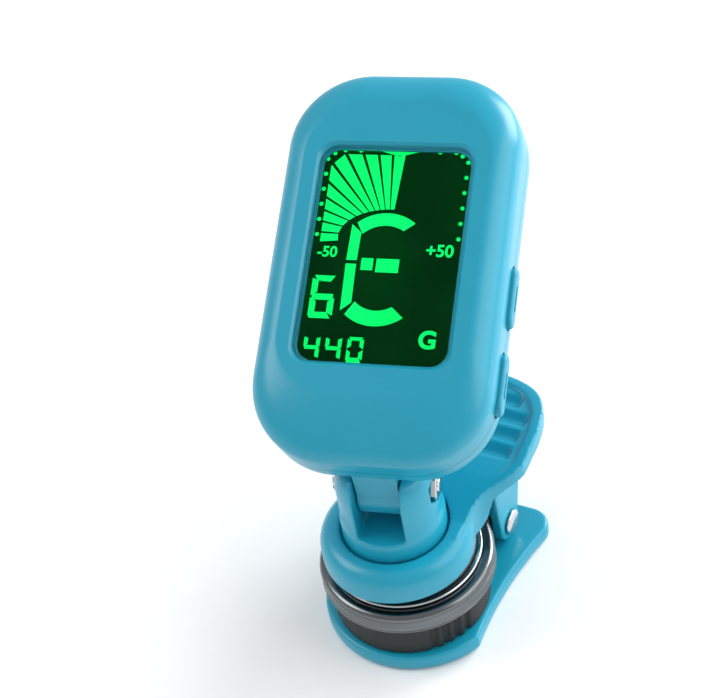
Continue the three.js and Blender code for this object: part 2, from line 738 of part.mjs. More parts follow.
function tunerChip() {
  const y = boardBack + fitGap;
  return piece("tuner_chip", box(-11, -4, y, y + 1, 12, 19), "#1a1c1e", 0.5);
}

function quartzCrystal() {
  const y = boardBack + fitGap;
  const outline = roundedRect(5, 2, 0.95, -1, 19);
  return piece("quartz_crystal", facing(outline, y + 1.4, y), "#c9ccce", 0.25, 1);
}

function tactSwitch(name, up) {
  const front = boardBack + fitGap;
  const body = box(switchTipX - 0.5 - switchDepth, switchTipX - 0.5, front, front + 2.2, up - 2.3, up + 2.3);
  const tip = rodX(0.6, switchTipX - 0.8, switchTipX, front + 1.1, up, 12);
  return piece(name, body.add(tip), "#c9ccce", 0.4, 0.6);
}

function sideButton(name, up) {
  const stem = sideways(buttonOutline(up, 0), flangeOuterX - 0.2, bodyWidth / 2 + buttonProud);
  const flange = sideways(buttonOutline(up, buttonFlangeLip), flangeOuterX - buttonFlange, flangeOuterX);
  return piece(name, stem.add(flange), "#2da6cb", 0.4);
}

function coinCell() {
  const front = cellFront;
  const can = rodY(cellRadius, front + 0.7, cellBack, 0, cellUp, 40);
  const cap = rodY(cellRadius - 1.4, front, front + 0.9, 0, cellUp, 40);
  return piece("coin_cell", can.add(cap), "#cfd2d4", 0.25, 1);
}

function negativeContact() {
  const front = boardBack + fitGap;
  return piece("battery_contact_negative",
    box(-7, 7, front, front + contactThick, cellUp - 2, cellUp + 2), "#c9b26a", 0.3, 1);
}

function positiveContact() {
  const front = boardBack + fitGap;
  const edge = cellUp + cellRadius + fitGap;
  const foot = cellUp + wellRadius + wellWall + 1;
  return piece("battery_contact_positive", sideways(polygon([
    [front, edge], [cellBack - 0.4, edge], [cellBack - 0.4, edge + contactThick],
    [front + contactThick, edge + contactThick], [front + contactThick, foot], [front, foot],
  ]), -2.5, 2.5), "#c9b26a", 0.3, 1);
}

function batteryCover() {
  const disc = rodY(coverRadius, rearY - coverThick, rearY, 0, cellUp, 48);
  const slot = box(-coinSlotLength / 2, coinSlotLength / 2, rearY - coinSlotDepth, rearY + 1,
    cellUp - coinSlotWidth / 2, cellUp + coinSlotWidth / 2);
  return piece("battery_cover", disc.subtract(slot), "#2ea7cb", 0.42);
}

function housingScrew(name, x, up) {
  const seat = rearY - 2.4 - 0.1 + 0.2;
  const head = rodY(housingScrewHead, seat, seat + 1.2, x, up, 20);
  const shank = rodY(housingScrewRadius, seat - housingScrewLength + 0.6, seat + 0.1, x, up, 12);
  const bit = seat + 1.2;
  const cross = [
    box(x - 1.1, x + 1.1, bit - 0.6, bit + 1, up - 0.22, up + 0.22),
    box(x - 0.22, x + 0.22, bit - 0.6, bit + 1, up - 1.1, up + 1.1),
  ];
  return piece(name, cutAll(head.add(shank), cross), "#8c9094", 0.35, 1);
}

function piezoDisc() {
  const back = rearY - rearWall - fitGap;
  return piece("piezo_disc", rodY(piezoRadius, back - piezoThick, back, 0, 9.5, 32), "#c9a24a", 0.3, 1);
}

// ---------------------------------------------------------------- assembly
const head = new THREE.Group();
head.add(
  frontHousing(), rearHousing(), displayWindow(), lcdPanel(), backlightDiffuser(), zebraConnector(),
  circuitBoard(), backlightLed("backlight_led_left", -6), backlightLed("backlight_led_right", 6),
  tunerChip(), quartzCrystal(), piezoDisc(),
  tactSwitch("power_switch", powerButtonUp), tactSwitch("mode_switch", modeButtonUp),
  sideButton("power_button", powerButtonUp), sideButton("mode_button", modeButtonUp),
  coinCell(), negativeContact(), positiveContact(), batteryCover(),
);
["lower", "upper"].forEach((row, i) => {
  head.add(housingScrew(`housing_screw_${row}_left`, -screwX, screwUps[i]));
  head.add(housingScrew(`housing_screw_${row}_right`, screwX, screwUps[i]));
});
head.position.z = tiltZ;
head.rotation.x = -THREE.MathUtils.degToRad(tiltBack);

const swivel = new THREE.Group();
swivel.add(swivelFork(), tiltScrew(), tiltNut(), swivelWasher(), swivelScrew(), head);
swivel.rotation.z = THREE.MathUtils.degToRad(swivelTurn);

const tuner = new THREE.Group();
tuner.name = "clip_on_tuner";
tuner.add(
  lowerArm(), lowerPad(), hingePin(), pinRetainer(), torsionSpring(),
  upperArm(), jawBand(), jawBead(), jawCollar(), upperPad(), swivel,
);

export default tuner;
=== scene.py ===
import bpy
import json
import math
from mathutils import Matrix, Quaternion, Vector


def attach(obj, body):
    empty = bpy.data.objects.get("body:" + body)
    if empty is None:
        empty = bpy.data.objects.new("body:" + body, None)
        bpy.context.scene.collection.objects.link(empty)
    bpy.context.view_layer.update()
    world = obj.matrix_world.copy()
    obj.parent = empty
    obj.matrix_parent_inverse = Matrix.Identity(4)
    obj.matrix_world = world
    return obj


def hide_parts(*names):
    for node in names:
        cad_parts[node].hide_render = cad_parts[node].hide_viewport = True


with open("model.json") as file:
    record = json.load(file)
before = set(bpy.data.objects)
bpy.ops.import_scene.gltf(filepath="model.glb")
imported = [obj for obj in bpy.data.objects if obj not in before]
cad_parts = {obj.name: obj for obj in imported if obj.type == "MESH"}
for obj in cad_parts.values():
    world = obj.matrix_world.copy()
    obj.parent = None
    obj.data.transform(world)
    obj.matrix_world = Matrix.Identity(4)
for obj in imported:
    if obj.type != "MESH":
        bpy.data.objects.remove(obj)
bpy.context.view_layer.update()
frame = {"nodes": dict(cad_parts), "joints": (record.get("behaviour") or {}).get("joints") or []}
bpy.ops.object.select_all(action="DESELECT")
print("frame loaded:", len(frame["nodes"]), "nodes")

# where things are: the bench is in millimetres, and these carry it into the frame
millimetre = 0.001
joints = {joint["name"]: joint for joint in frame["joints"]}
tiltPoint = Vector(joints["head_tilt"]["pos_m"])
across = Vector(joints["head_tilt"]["axis"]).normalized()
outFront = Vector(joints["cover_twist"]["axis"]).normalized()
upHead = outFront.cross(across)


def frameOf(x, y, z, origin):
    turn = Matrix((x, y, z)).transposed().to_4x4()
    return Matrix.Translation(origin) @ turn @ Matrix.Scale(millimetre, 4)


clipPlace = Matrix.Scale(millimetre, 4)
forkPlace = frameOf(across, Vector((0, 0, 1)).cross(across), Vector((0, 0, 1)), Vector((0, 0, 0)))
headPlace = frameOf(across, upHead, outFront, tiltPoint)      # x across, y up the head, z out of its face


def span(nodeName, place):      # lowest and highest corner of a node, in bench millimetres
    node = frame["nodes"][nodeName]
    points = [place.inverted() @ node.matrix_world @ vertex.co for vertex in node.data.vertices]
    return [Vector([pick(point[i] for point in points) for i in range(3)]) for pick in (min, max)]


# camera and light
cameraView = {"aim": (-0.0097, 0.0139, 0.0388), "azimuth": 34.55, "elevation": 41.91, "roll": 11.44,
              "distance": 0.276, "lens": 95.67}


def placeCamera(settings):
    azimuth = math.radians(settings["azimuth"])
    elevation = math.radians(settings["elevation"])
    back = Vector((math.sin(azimuth) * math.cos(elevation),
                   -math.cos(azimuth) * math.cos(elevation), math.sin(elevation)))
    bpy.ops.object.camera_add(location=Vector(settings["aim"]) + back * settings["distance"])
    camera = bpy.context.object
    camera.data.lens = settings["lens"]
    camera.data.sensor_width = 36
    camera.data.clip_start = 0.01
    turn = Quaternion((0, 0, 1), -math.radians(settings["roll"]))
    camera.rotation_mode = "QUATERNION"
    camera.rotation_quaternion = (-back).to_track_quat("-Z", "Y") @ turn
    bpy.context.scene.camera = camera


placeCamera(cameraView)

studio = {
    "leftFront": {"at": (-0.36, -0.14, 0.40), "size": 0.28, "watts": 0.9},
    "right": {"at": (0.42, 0.12, 0.29), "size": 0.45, "watts": 1.2},
    "rear": {"at": (0.16, 0.36, 0.18), "size": 0.24, "watts": 1.5},
}


lampTarget = (0, 0.01, 0.03)


def softLight(name, settings):
    bpy.ops.object.light_add(type="AREA", location=settings["at"])
    lamp = bpy.context.object
    lamp.name = name
    lamp.data.energy = settings["watts"]
    lamp.data.size = settings["size"]
    aim = Vector(lampTarget) - Vector(settings["at"])
    lamp.rotation_euler = aim.to_track_quat("-Z", "Y").to_euler()


for lampName, lampSettings in studio.items():
    softLight(lampName, lampSettings)


# materials
def toLinear(hexColor):
    levels = [int(hexColor[i:i + 2], 16) / 255 for i in (1, 3, 5)]
    return tuple(v / 12.92 if v <= 0.04045 else ((v + 0.055) / 1.055) ** 2.4 for v in levels) + (1,)


def addNode(tree, kind, settings=None, links=None):
    node = tree.nodes.new(kind)
    for key, value in (settings or {}).items():
        if key in node.inputs:
            node.inputs[key].default_value = value
        else:
            setattr(node, key, value)
    for key, output in (links or {}).items():
        tree.links.new(output, node.inputs[key])
    return node


def newMaterial(name, settings):
    material = bpy.data.materials.new(name)
    material.use_nodes = True
    shader = material.node_tree.nodes["Principled BSDF"]
    for key, value in settings.items():
        shader.inputs[key].default_value = value
    return material, material.node_tree, shader


def perMillimetre(size):        # noise scale that gives features of this size in millimetres
    return 1 / (size * millimetre)


def addNoise(tree, coords, size, detail):
    settings = {"Scale": perMillimetre(size), "Detail": detail}
    return addNode(tree, "ShaderNodeTexNoise", settings, {"Vector": coords}).outputs["Fac"]


def varyRoughness(tree, shader, height, low, high):
    spread = addNode(tree, "ShaderNodeMapRange", {"To Min": low, "To Max": high}, {"Value": height})
    tree.links.new(spread.outputs["Result"], shader.inputs["Roughness"])


def newFinish(name, form):
    # colour drifts between two tones; the same noise, or a finer grain, sets the roughness and the bump
    material, tree, shader = newMaterial(name, form.get("shader", {}))
    coords = addNode(tree, "ShaderNodeTexCoord").outputs["Object"]
    if "squeeze" in form:
        squeeze = addNode(tree, "ShaderNodeMapping", {"Scale": form["squeeze"]}, {"Vector": coords})
        coords = squeeze.outputs["Vector"]
    height = addNoise(tree, coords, *form["patches"])
    mix = addNode(tree, "ShaderNodeMix", {"data_type": "RGBA"}, {"Factor": height})
    for socket, tone in zip((6, 7), form["tones"]):     # the two colour sockets
        mix.inputs[socket].default_value = toLinear(tone)
    tree.links.new(mix.outputs[2], shader.inputs["Base Color"])
    if "grain" in form:
        height = addNoise(tree, coords, *form["grain"])
    if "roughness" in form:
        varyRoughness(tree, shader, height, *form["roughness"])
    if "bump" in form:
        relief = dict(zip(("Strength", "Distance"), form["bump"]))
        bump = addNode(tree, "ShaderNodeBump", relief, {"Height": height})
        tree.links.new(bump.outputs["Normal"], shader.inputs["Normal"])
    return material


# ABS, injection moulded and satin: soft wide highlights, a faint orange peel, slightly cloudy colour
satinAbs = newFinish("satinMouldedAbs", {
    "shader": {"IOR": 1.53}, "tones": ("#1298b5", "#19a0bd"), "patches": (9, 3), "grain": (0.35, 2),
    "roughness": (0.24, 0.36), "bump": (0.1, 0.00002)})
# ABS, the same colour but less polished in the mould: duller where fingers and screws bear
matteAbs = newFinish("matteMouldedAbs", {
    "shader": {"IOR": 1.53}, "tones": ("#1093b0", "#179bb8"), "patches": (6, 3), "grain": (0.25, 3),
    "roughness": (0.36, 0.5), "bump": (0.16, 0.00002)})
# steel, turned and brushed round its axis: fine lines that follow the rim and stretch the highlights
bandSteel = newFinish("brushedBandSteel", {
    "shader": {"Metallic": 1}, "squeeze": (0.06, 0.06, 1), "tones": ("#565c5f", "#85898b"),
    "patches": (0.5, 6), "roughness": (0.15, 0.32), "bump": (0.3, 0.00003)})
# steel, turned and polished: the same lines, but faint, under a bright reflection
beadSteel = newFinish("polishedBeadSteel", {
    "shader": {"Metallic": 1}, "squeeze": (0.06, 0.06, 1), "tones": ("#b4b8ba", "#d9dbdc"),
    "patches": (0.3, 6), "roughness": (0.1, 0.2), "bump": (0.1, 0.00003)})
# steel with bright nickel plating: sharp reflections with small dents and stains from handling
brightSteel = newFinish("nickelPlatedSteel", {
    "shader": {"Metallic": 1}, "tones": ("#c9cdd0", "#e6e8e9"), "patches": (0.9, 4),
    "roughness": (0.08, 0.26), "bump": (0.12, 0.00005)})
# music wire and screws, oiled and darkened: grey with streaks of dull oxide
darkSteel = newFinish("oiledSpringSteel", {
    "shader": {"Metallic": 1}, "tones": ("#4a4e52", "#767b80"), "patches": (0.7, 4),
    "roughness": (0.26, 0.46), "bump": (0.1, 0.00003)})
# nitrile rubber, compression moulded: almost black, dull, with a fine dusty grain
blackRubber = newFinish("mouldedNitrileRubber", {
    "shader": {"IOR": 1.52}, "tones": ("#0a0d0e", "#13181a"), "patches": (1.6, 6), "grain": (0.2, 4),
    "roughness": (0.48, 0.72), "bump": (0.22, 0.00004)})
# glass-filled nylon, moulded: black with a low sheen
blackNylon = newFinish("blackNylon", {
    "shader": {"IOR": 1.53}, "tones": ("#0b0d0e", "#14171a"), "patches": (0.6, 4),
    "roughness": (0.32, 0.5), "bump": (0.12, 0.00003)})
# solder mask over fibreglass: green and slightly glossy, uneven where tracks run under it
boardMask = newFinish("greenSolderMask", {
    "tones": ("#154a2a", "#1d5b34"), "patches": (0.8, 3), "roughness": (0.39, 0.53)})
# milky acrylic that spreads the backlight: pale green and soft
milkyPlastic = newFinish("milkyDiffuserPlastic", {
    "tones": ("#c3e3cd", "#d6eedd"), "patches": (2, 3), "roughness": (0.44, 0.58)})
# brass with thin gold-coloured plating: warm reflections, worn unevenly
platedBrass = newFinish("platedBrass", {
    "shader": {"Metallic": 1}, "tones": ("#b79b52", "#d3bb78"), "patches": (0.6, 3),
    "roughness": (0.24, 0.38)})
# cast resin of the lamps: pale and glossy
lampResin = newFinish("clearLampResin", {
    "tones": ("#ebebcf", "#f4f4e2"), "patches": (0.8, 3), "roughness": (0.19, 0.33)})
# matte white card: almost no highlight, a faint fibre grain
whiteCard = newFinish("matteWhiteCard", {
    "shader": {"Roughness": 0.9}, "tones": ("#fbfbfb", "#ffffff"), "patches": (3, 2)})


def clearWindow():
    # acrylic with an anti-glare coat: clear and deep, almost no reflection, a trace of wiping marks
    material, tree, shader = newMaterial("polishedAcrylic", {
        "Base Color": toLinear("#f8fbf9"), "IOR": 1.06, "Transmission Weight": 1})
    coords = addNode(tree, "ShaderNodeTexCoord").outputs["Object"]
    varyRoughness(tree, shader, addNoise(tree, coords, 2.5, 6), 0.015, 0.045)
    return material


def litFinish(name, form):      # backlit from inside, the glow drifting between two tones
    material, tree, shader = newMaterial(name, {
        "Base Color": toLinear(form["base"]), "Roughness": form["roughness"], "IOR": 1.06,
        "Emission Strength": form["glow"]})
    coords = addNode(tree, "ShaderNodeTexCoord").outputs["Object"]
    ramp = addNode(tree, "ShaderNodeValToRGB", None, {"Fac": addNoise(tree, coords, form["patch"], 1)})
    for stop, position, tone in zip(ramp.color_ramp.elements, (0.3, 0.7), form["tones"]):
        stop.position = position
        stop.color = toLinear(tone)
    tree.links.new(ramp.outputs["Color"], shader.inputs["Emission Color"])
    return material


polishedAcrylic = clearWindow()
# display glass with a green backlight behind it: nearly black, with a dim uneven glow
displayGlass = litFinish("backlitDisplayGlass", {
    "base": "#010402", "roughness": 0.2, "glow": 1, "patch": 16, "tones": ("#002009", "#013711")})
# open segments of the display: the backlight shines through them, brightest towards the middle
greenSegment = litFinish("litGreenSegment", {
    "base": "#021a08", "roughness": 0.4, "glow": 1.3, "patch": 12, "tones": ("#06e45c", "#0cfb72")})
print("materials made")


# bench tools
def deselect():
    bpy.ops.object.select_all(action="DESELECT")


def newSolid(name, low, high):      # a box between two corners, ready to be shaped
    deselect()
    low, high = Vector(low), Vector(high)
    bpy.ops.mesh.primitive_cube_add(size=1, location=(low + high) / 2)
    bpy.context.object.scale = high - low
    bpy.ops.object.transform_apply(location=True, rotation=True, scale=True)
    bpy.context.object.name = name
    return bpy.context.object


def newRod(name, radius, start, end, vertices=64):      # a cylinder between two points
    deselect()
    start, end = Vector(start), Vector(end)
    bpy.ops.mesh.primitive_cylinder_add(vertices=vertices, radius=radius, depth=(end - start).length)
    rod = bpy.context.object
    rod.name = name
    rod.rotation_euler = (end - start).to_track_quat("Z", "Y").to_euler()
    rod.location = (start + end) / 2
    bpy.ops.object.transform_apply(location=True, rotation=True, scale=True)
    return rod


def rodX(name, radius, x0, x1, y, z, vertices=64):
    return newRod(name, radius, (x0, y, z), (x1, y, z), vertices)


def rodZ(name, radius, x, y, z0, z1, vertices=64):
    return newRod(name, radius, (x, y, z0), (x, y, z1), vertices)


def makeActive(piece):
    deselect()
    piece.select_set(True)
    bpy.context.view_layer.objects.active = piece


def pickParts(piece, kind, test):       # selects by place or normal and opens edit mode
    makeActive(piece)
    mesh = piece.data
    for group in (mesh.vertices, mesh.edges, mesh.polygons):
        group.foreach_set("select", [False] * len(group))
    if kind == "FACE":
        for face in mesh.polygons:
            face.select = test(face.center, face.normal)
    elif kind == "EDGE":
        for edge in mesh.edges:
            start, end = (mesh.vertices[i].co for i in edge.vertices)
            edge.select = test(start, end)
    else:
        for vertex in mesh.vertices:
            vertex.select = test(vertex.co)
    bpy.context.tool_settings.mesh_select_mode = (kind == "VERT", kind == "EDGE", kind == "FACE")
    bpy.ops.object.mode_set(mode="EDIT")


def closeEdit():
    bpy.ops.object.mode_set(mode="OBJECT")


def movePart(piece, kind, test, move):
    pickParts(piece, kind, test)
    bpy.ops.transform.translate(value=move)
    closeEdit()


def roundEdges(piece, test, offset, segments):
    pickParts(piece, "EDGE", test)
    bpy.ops.mesh.bevel(offset=offset, segments=segments, profile=0.5)
    closeEdit()


def applyModifier(piece, kind, settings):
    makeActive(piece)
    modifier = piece.modifiers.new(kind.lower(), kind)
    for key, value in settings.items():
        setattr(modifier, key, value)
    bpy.ops.object.modifier_apply(modifier=modifier.name)


def combine(piece, tools, operation="DIFFERENCE"):
    for tool in tools if isinstance(tools, list) else [tools]:
        applyModifier(piece, "BOOLEAN", {"object": tool, "operation": operation, "solver": "EXACT"})
        bpy.data.objects.remove(tool, do_unlink=True)
    return piece


def soften(piece, voxel, rounds):       # one even skin with moulded, slightly rounded edges
    applyModifier(piece, "REMESH", {"mode": "VOXEL", "voxel_size": voxel})
    applyModifier(piece, "SMOOTH", {"factor": 0.5, "iterations": rounds})
    makeActive(piece)
    bpy.ops.object.shade_smooth()


def smoothByAngle(piece, degrees):
    makeActive(piece)
    bpy.ops.object.shade_smooth_by_angle(angle=math.radians(degrees))


def mergeDoubles():      # in edit mode: welds the piece, turns its faces outward and closes the edit
    bpy.ops.mesh.select_all(action="SELECT")
    bpy.ops.mesh.remove_doubles(threshold=0.0005)
    bpy.ops.mesh.normals_make_consistent(inside=False)
    closeEdit()


def spinProfile(name, profile, steps=96, y=0):       # (radius, height) points turned about the Z axis
    deselect()
    bpy.ops.mesh.primitive_plane_add(size=1)
    piece = bpy.context.object
    piece.name = name
    bpy.ops.object.mode_set(mode="EDIT")
    bpy.ops.mesh.select_mode(type="VERT")
    bpy.ops.mesh.select_all(action="SELECT")
    bpy.ops.mesh.merge(type="CENTER")
    bpy.ops.transform.translate(value=(profile[0][0], 0, profile[0][1]))
    for (r0, z0), (r1, z1) in zip(profile, profile[1:]):
        bpy.ops.mesh.extrude_vertices_move(TRANSFORM_OT_translate={"value": (r1 - r0, 0, z1 - z0)})
    bpy.ops.mesh.select_all(action="SELECT")
    bpy.ops.mesh.spin(steps=steps, angle=2 * math.pi, center=(0, 0, 0), axis=(0, 0, 1))
    mergeDoubles()
    piece.data.transform(Matrix.Translation((0, y, 0)))
    return piece


def curveToMesh(name, curve):
    piece = bpy.data.objects.new(name, curve)
    bpy.context.collection.objects.link(piece)
    makeActive(piece)
    bpy.ops.object.convert(target="MESH")
    return bpy.context.object


def newPlate(name, outlines, z0, z1, bevel=0):      # flat outlines, filled and given a thickness
    curve = bpy.data.curves.new(name, "CURVE")
    curve.dimensions = "2D"
    curve.fill_mode = "BOTH"
    curve.extrude = (z1 - z0) / 2 - bevel
    curve.bevel_depth = bevel
    curve.offset = -bevel
    curve.bevel_resolution = 3
    for outline in outlines:
        spline = curve.splines.new("POLY")
        spline.points.add(len(outline) - 1)
        for point, (x, y) in zip(spline.points, outline):
            point.co = (x, y, 0, 1)
        spline.use_cyclic_u = True
    plate = curveToMesh(name, curve)
    plate.data.transform(Matrix.Translation((0, 0, (z0 + z1) / 2)))
    bpy.ops.object.mode_set(mode="EDIT")
    mergeDoubles()
    return plate


def joinPieces(pieces):
    makeActive(pieces[0])
    for piece in pieces:
        piece.select_set(True)
    bpy.ops.object.join()
    return bpy.context.object


def settle(piece, place, body, material, slotName, *nodes, smooth=0):
    if smooth:
        smoothByAngle(piece, smooth)
    piece.data.transform(place @ piece.matrix_basis)
    piece.matrix_basis = Matrix.Identity(4)
    piece.data.materials.clear()
    piece.data.materials.append(material)
    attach(piece, body)
    if nodes:
        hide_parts(*nodes)
    return piece


def arcPoints(cx, cy, radius, start, end, count):
    turns = [math.radians(start + (end - start) * i / count) for i in range(count + 1)]
    return [(cx + radius * math.cos(turn), cy + radius * math.sin(turn)) for turn in turns]


def bezierPoints(a, b, c, d, count):
    points = []
    for i in range(count + 1):
        t = i / count
        s = 1 - t
        points.append(tuple(s ** 3 * p + 3 * s * s * t * q + 3 * s * t * t * r + t ** 3 * u
                            for p, q, r, u in zip(a, b, c, d)))
    return points


# display head: front housing
frontForm = {"corner": 11.4, "wall": 3.3, "sideFall": 3.5, "topFall": 5.4, "bottomFall": 8.4,
             "steps": 12, "sweep": 74, "flat": 0.985, "skin": 1.5, "windowGap": 0.12, "ledge": 0.3,
             "seatCorner": 2.6, "seatDepth": 0.45, "throughCorner": 2.4, "buttonGap": 0.3}
frontLow, frontHigh = span("front_housing", headPlace)
windowLow, windowHigh = span("display_window", headPlace)


def growRings(piece, settings, low, high, zStart, zEnd):
    # carries the end face along a quarter ellipse, drawing it in by a different amount on each side
    steps = settings["steps"]
    forward = 1 if zEnd > zStart else -1
    pickParts(piece, "FACE", lambda centre, normal: normal.z * forward > 0.9)
    centreX = (high.x + low.x) / 2
    last = (high.x - low.x, high.y - low.y, (high.y + low.y) / 2, zStart)
    sweep = math.radians(settings["sweep"])
    for i in range(1, steps + 1):
        turn = sweep * i / steps
        fall = (1 - math.cos(turn)) / (1 - math.cos(sweep))
        top = high.y - settings["topFall"] * fall
        bottom = low.y + settings["bottomFall"] * fall
        width = high.x - low.x - 2 * settings["sideFall"] * fall
        z = zStart + (zEnd - zStart) * math.sin(turn) / math.sin(sweep)
        middle = (top + bottom) / 2
        step = (0, middle - last[2], z - last[3])
        bpy.ops.mesh.extrude_region_move(TRANSFORM_OT_translate={"value": step})
        bpy.ops.transform.resize(value=(width / last[0], (top - bottom) / last[1], 1),
                                 center_override=(centreX, middle, z))
        last = (width, top - bottom, middle, z)
    bpy.ops.mesh.extrude_region_move(TRANSFORM_OT_translate={"value": (0, 0, 0)})
    flat = settings["flat"]
    bpy.ops.transform.resize(value=(flat, flat, 1), center_override=(centreX, last[2], last[3]))
    closeEdit()


def sidePlate(name, outline, x0, x1, bevel=0):      # an outline in (y, z) made into a block along x
    plate = newPlate(name, [outline], x0, x1, bevel)
    plate.data.transform(Matrix(((0, 0, 1, 0), (1, 0, 0, 0), (0, 1, 0, 0), (0, 0, 0, 1))))
    return plate


def capsule(name, low, high, inset, x0, x1, bevel=0, steps=16):     # a bar with rounded ends, long in y
    middle = (low.z + high.z) / 2
    radius = (high.z - low.z) / 2 - inset
    reach = (high.z - low.z) / 2
    outline = arcPoints(high.y - reach, middle, radius, -90, 90, steps)
    outline += arcPoints(low.y + reach, middle, radius, 90, 270, steps)
    return sidePlate(name, outline, x0, x1, bevel)


buttonLip = 0.7     # a button's hidden flange reaches this far past the part that shows


def buttonCutters():
    cutters = []
    for nodeName in ("power_button", "mode_button"):
        low, high = span(nodeName, headPlace)
        inset = buttonLip - frontForm["buttonGap"]
        cutters.append(capsule("cutter", low, high, inset, high.x - 3, high.x + 2))
    return cutters


def roundedBlock(name, low, high, radius, segments=8):
    block = newSolid(name, low, high)
    roundEdges(block, lambda a, b: abs(a.z - b.z) > 0.5 * (high[2] - low[2]), radius, segments)
    return block


def makeShell(name, form, openZ, startZ, endZ):     # a hollow half of the case, open towards the other half
    low = Vector((frontLow.x, frontLow.y, min(openZ, startZ)))
    high = Vector((frontHigh.x, frontHigh.y, max(openZ, startZ)))
    shell = newSolid(name, low, high)
    roundEdges(shell, lambda a, b: abs(a.z - b.z) > 1, form["corner"], 18)
    growRings(shell, form, low, high, startZ, endZ)
    pickParts(shell, "FACE", lambda centre, normal: abs(normal.z) > 0.9 and abs(centre.z - openZ) < 0.01)
    bpy.ops.mesh.delete(type="ONLY_FACE")
    closeEdit()
    applyModifier(shell, "SOLIDIFY", {"thickness": form["skin"], "offset": -1, "use_even_offset": True})
    return shell


def makeFrontHousing():
    shell = makeShell("front_cover", frontForm, frontLow.z, frontLow.z + frontForm["wall"], frontHigh.z)
    gap = frontForm["windowGap"]
    seat = roundedBlock("seat", (windowLow.x - gap, windowLow.y - gap, windowLow.z - gap),
                        (windowHigh.x + gap, windowHigh.y + gap, frontHigh.z - frontForm["seatDepth"]),
                        frontForm["seatCorner"])
    pickParts(seat, "FACE", lambda centre, normal: normal.z > 0.9)
    bpy.ops.mesh.extrude_region_move(TRANSFORM_OT_translate={"value": (0, 0, 0.75)})
    bpy.ops.transform.resize(value=(1.07, 1.05, 1))
    closeEdit()
    ledge = frontForm["ledge"]
    through = roundedBlock("through", (windowLow.x + ledge, windowLow.y + ledge, frontLow.z + 3),
                           (windowHigh.x - ledge, windowHigh.y - ledge, frontHigh.z + 1),
                           frontForm["throughCorner"])
    combine(shell, [seat, through] + buttonCutters())
    settle(shell, headPlace, "head", satinAbs, "blue_plastic", "front_housing", smooth=34)


makeFrontHousing()
print("front housing made")

# display head: rear housing with its tongue, screw wells and battery well
rearForm = {"corner": 11.4, "wall": 2.0, "sideFall": 2.0, "topFall": 2.0, "bottomFall": 2.4,
            "steps": 7, "sweep": 90, "flat": 0.985, "skin": 1.4, "split": 0.12, "tongueHalf": 3.15,
            "tongueRadius": 4.5, "tongueBase": (9, 7.6), "screwWell": 1.85, "screwDepth": 2.4,
            "bossWall": 0.85, "screwBore": 1.0, "coverGap": 0.3, "cellInset": 1.3, "tiltBore": 1.2}
coverLow, coverHigh = span("battery_cover", headPlace)
screwNames = [f"housing_screw_{row}_{side}" for row in ("lower", "upper") for side in ("left", "right")]


def screwPlaces():
    corners = [span(screwName, headPlace) for screwName in screwNames]
    return [((low.x + high.x) / 2, (low.y + high.y) / 2) for low, high in corners]


def makeTongue():       # reaches from the housing down between the arms of the fork
    half, radius = rearForm["tongueHalf"], rearForm["tongueRadius"]
    baseY, baseZ = rearForm["tongueBase"]
    block = newSolid("block", (-half, -radius, 0), (half, baseY, baseZ))
    moves = {(-radius, baseZ): (0, frontLow.y + 0.5 + radius, 0), (baseY, 0): (0, -5.6, -3.0),
             (baseY, baseZ): (0, -0.6, -0.9)}
    for (y, z), move in moves.items():
        movePart(block, "EDGE", lambda a, b: max(abs(v.y - y) + abs(v.z - z) for v in (a, b)) < 0.01, move)
    return [rodX("tongue", radius, -half, half, 0, 0), block]


def makeRearHousing():
    zFront = frontLow.z - rearForm["split"]
    zBack = coverLow.z
    shell = makeShell("rear_cover", rearForm, zFront, zFront - rearForm["wall"], zBack)
    coverY = (coverLow.y + coverHigh.y) / 2
    coverRadius = (coverHigh.x - coverLow.x) / 2
    additions = [rodZ("well", coverRadius - 0.2, 0, coverY, zBack + 0.5, zFront + 0.8, 96)]
    cuts = []
    bossRadius = rearForm["screwWell"] + rearForm["bossWall"]
    for x, y in screwPlaces():
        additions.append(rodZ("boss", bossRadius, x, y, zBack + 0.5, zFront - 0.05, 32))
        cuts.append(rodZ("hole", rearForm["screwWell"], x, y, zBack - 1, zBack + rearForm["screwDepth"], 40))
        cuts.append(rodZ("bore", rearForm["screwBore"], x, y, zBack, zFront + 1, 24))
    combine(shell, additions + makeTongue(), "UNION")
    recess = coverRadius + rearForm["coverGap"]
    cuts.append(rodZ("recess", recess, 0, coverY, zBack - 1, coverHigh.z + 0.15, 96))
    cuts.append(rodZ("cellWell", coverRadius - rearForm["cellInset"], 0, coverY, zBack, zFront + 2, 96))
    boreReach = rearForm["tongueHalf"] + 1
    cuts.append(rodX("tiltBore", rearForm["tiltBore"], -boreReach, boreReach, 0, 0, 40))
    combine(shell, cuts + buttonCutters())
    settle(shell, headPlace, "head", satinAbs, "blue_plastic", "rear_housing", smooth=34)


makeRearHousing()
print("rear housing made")

# battery cover with its coin slot
coverForm = {"edge": 0.35, "slotWidth": 1.6, "slotLength": 11, "slotDepth": 0.75, "slotCorner": 0.75,
             "rim": 1.2, "step": 0.25, "sink": 0.15}


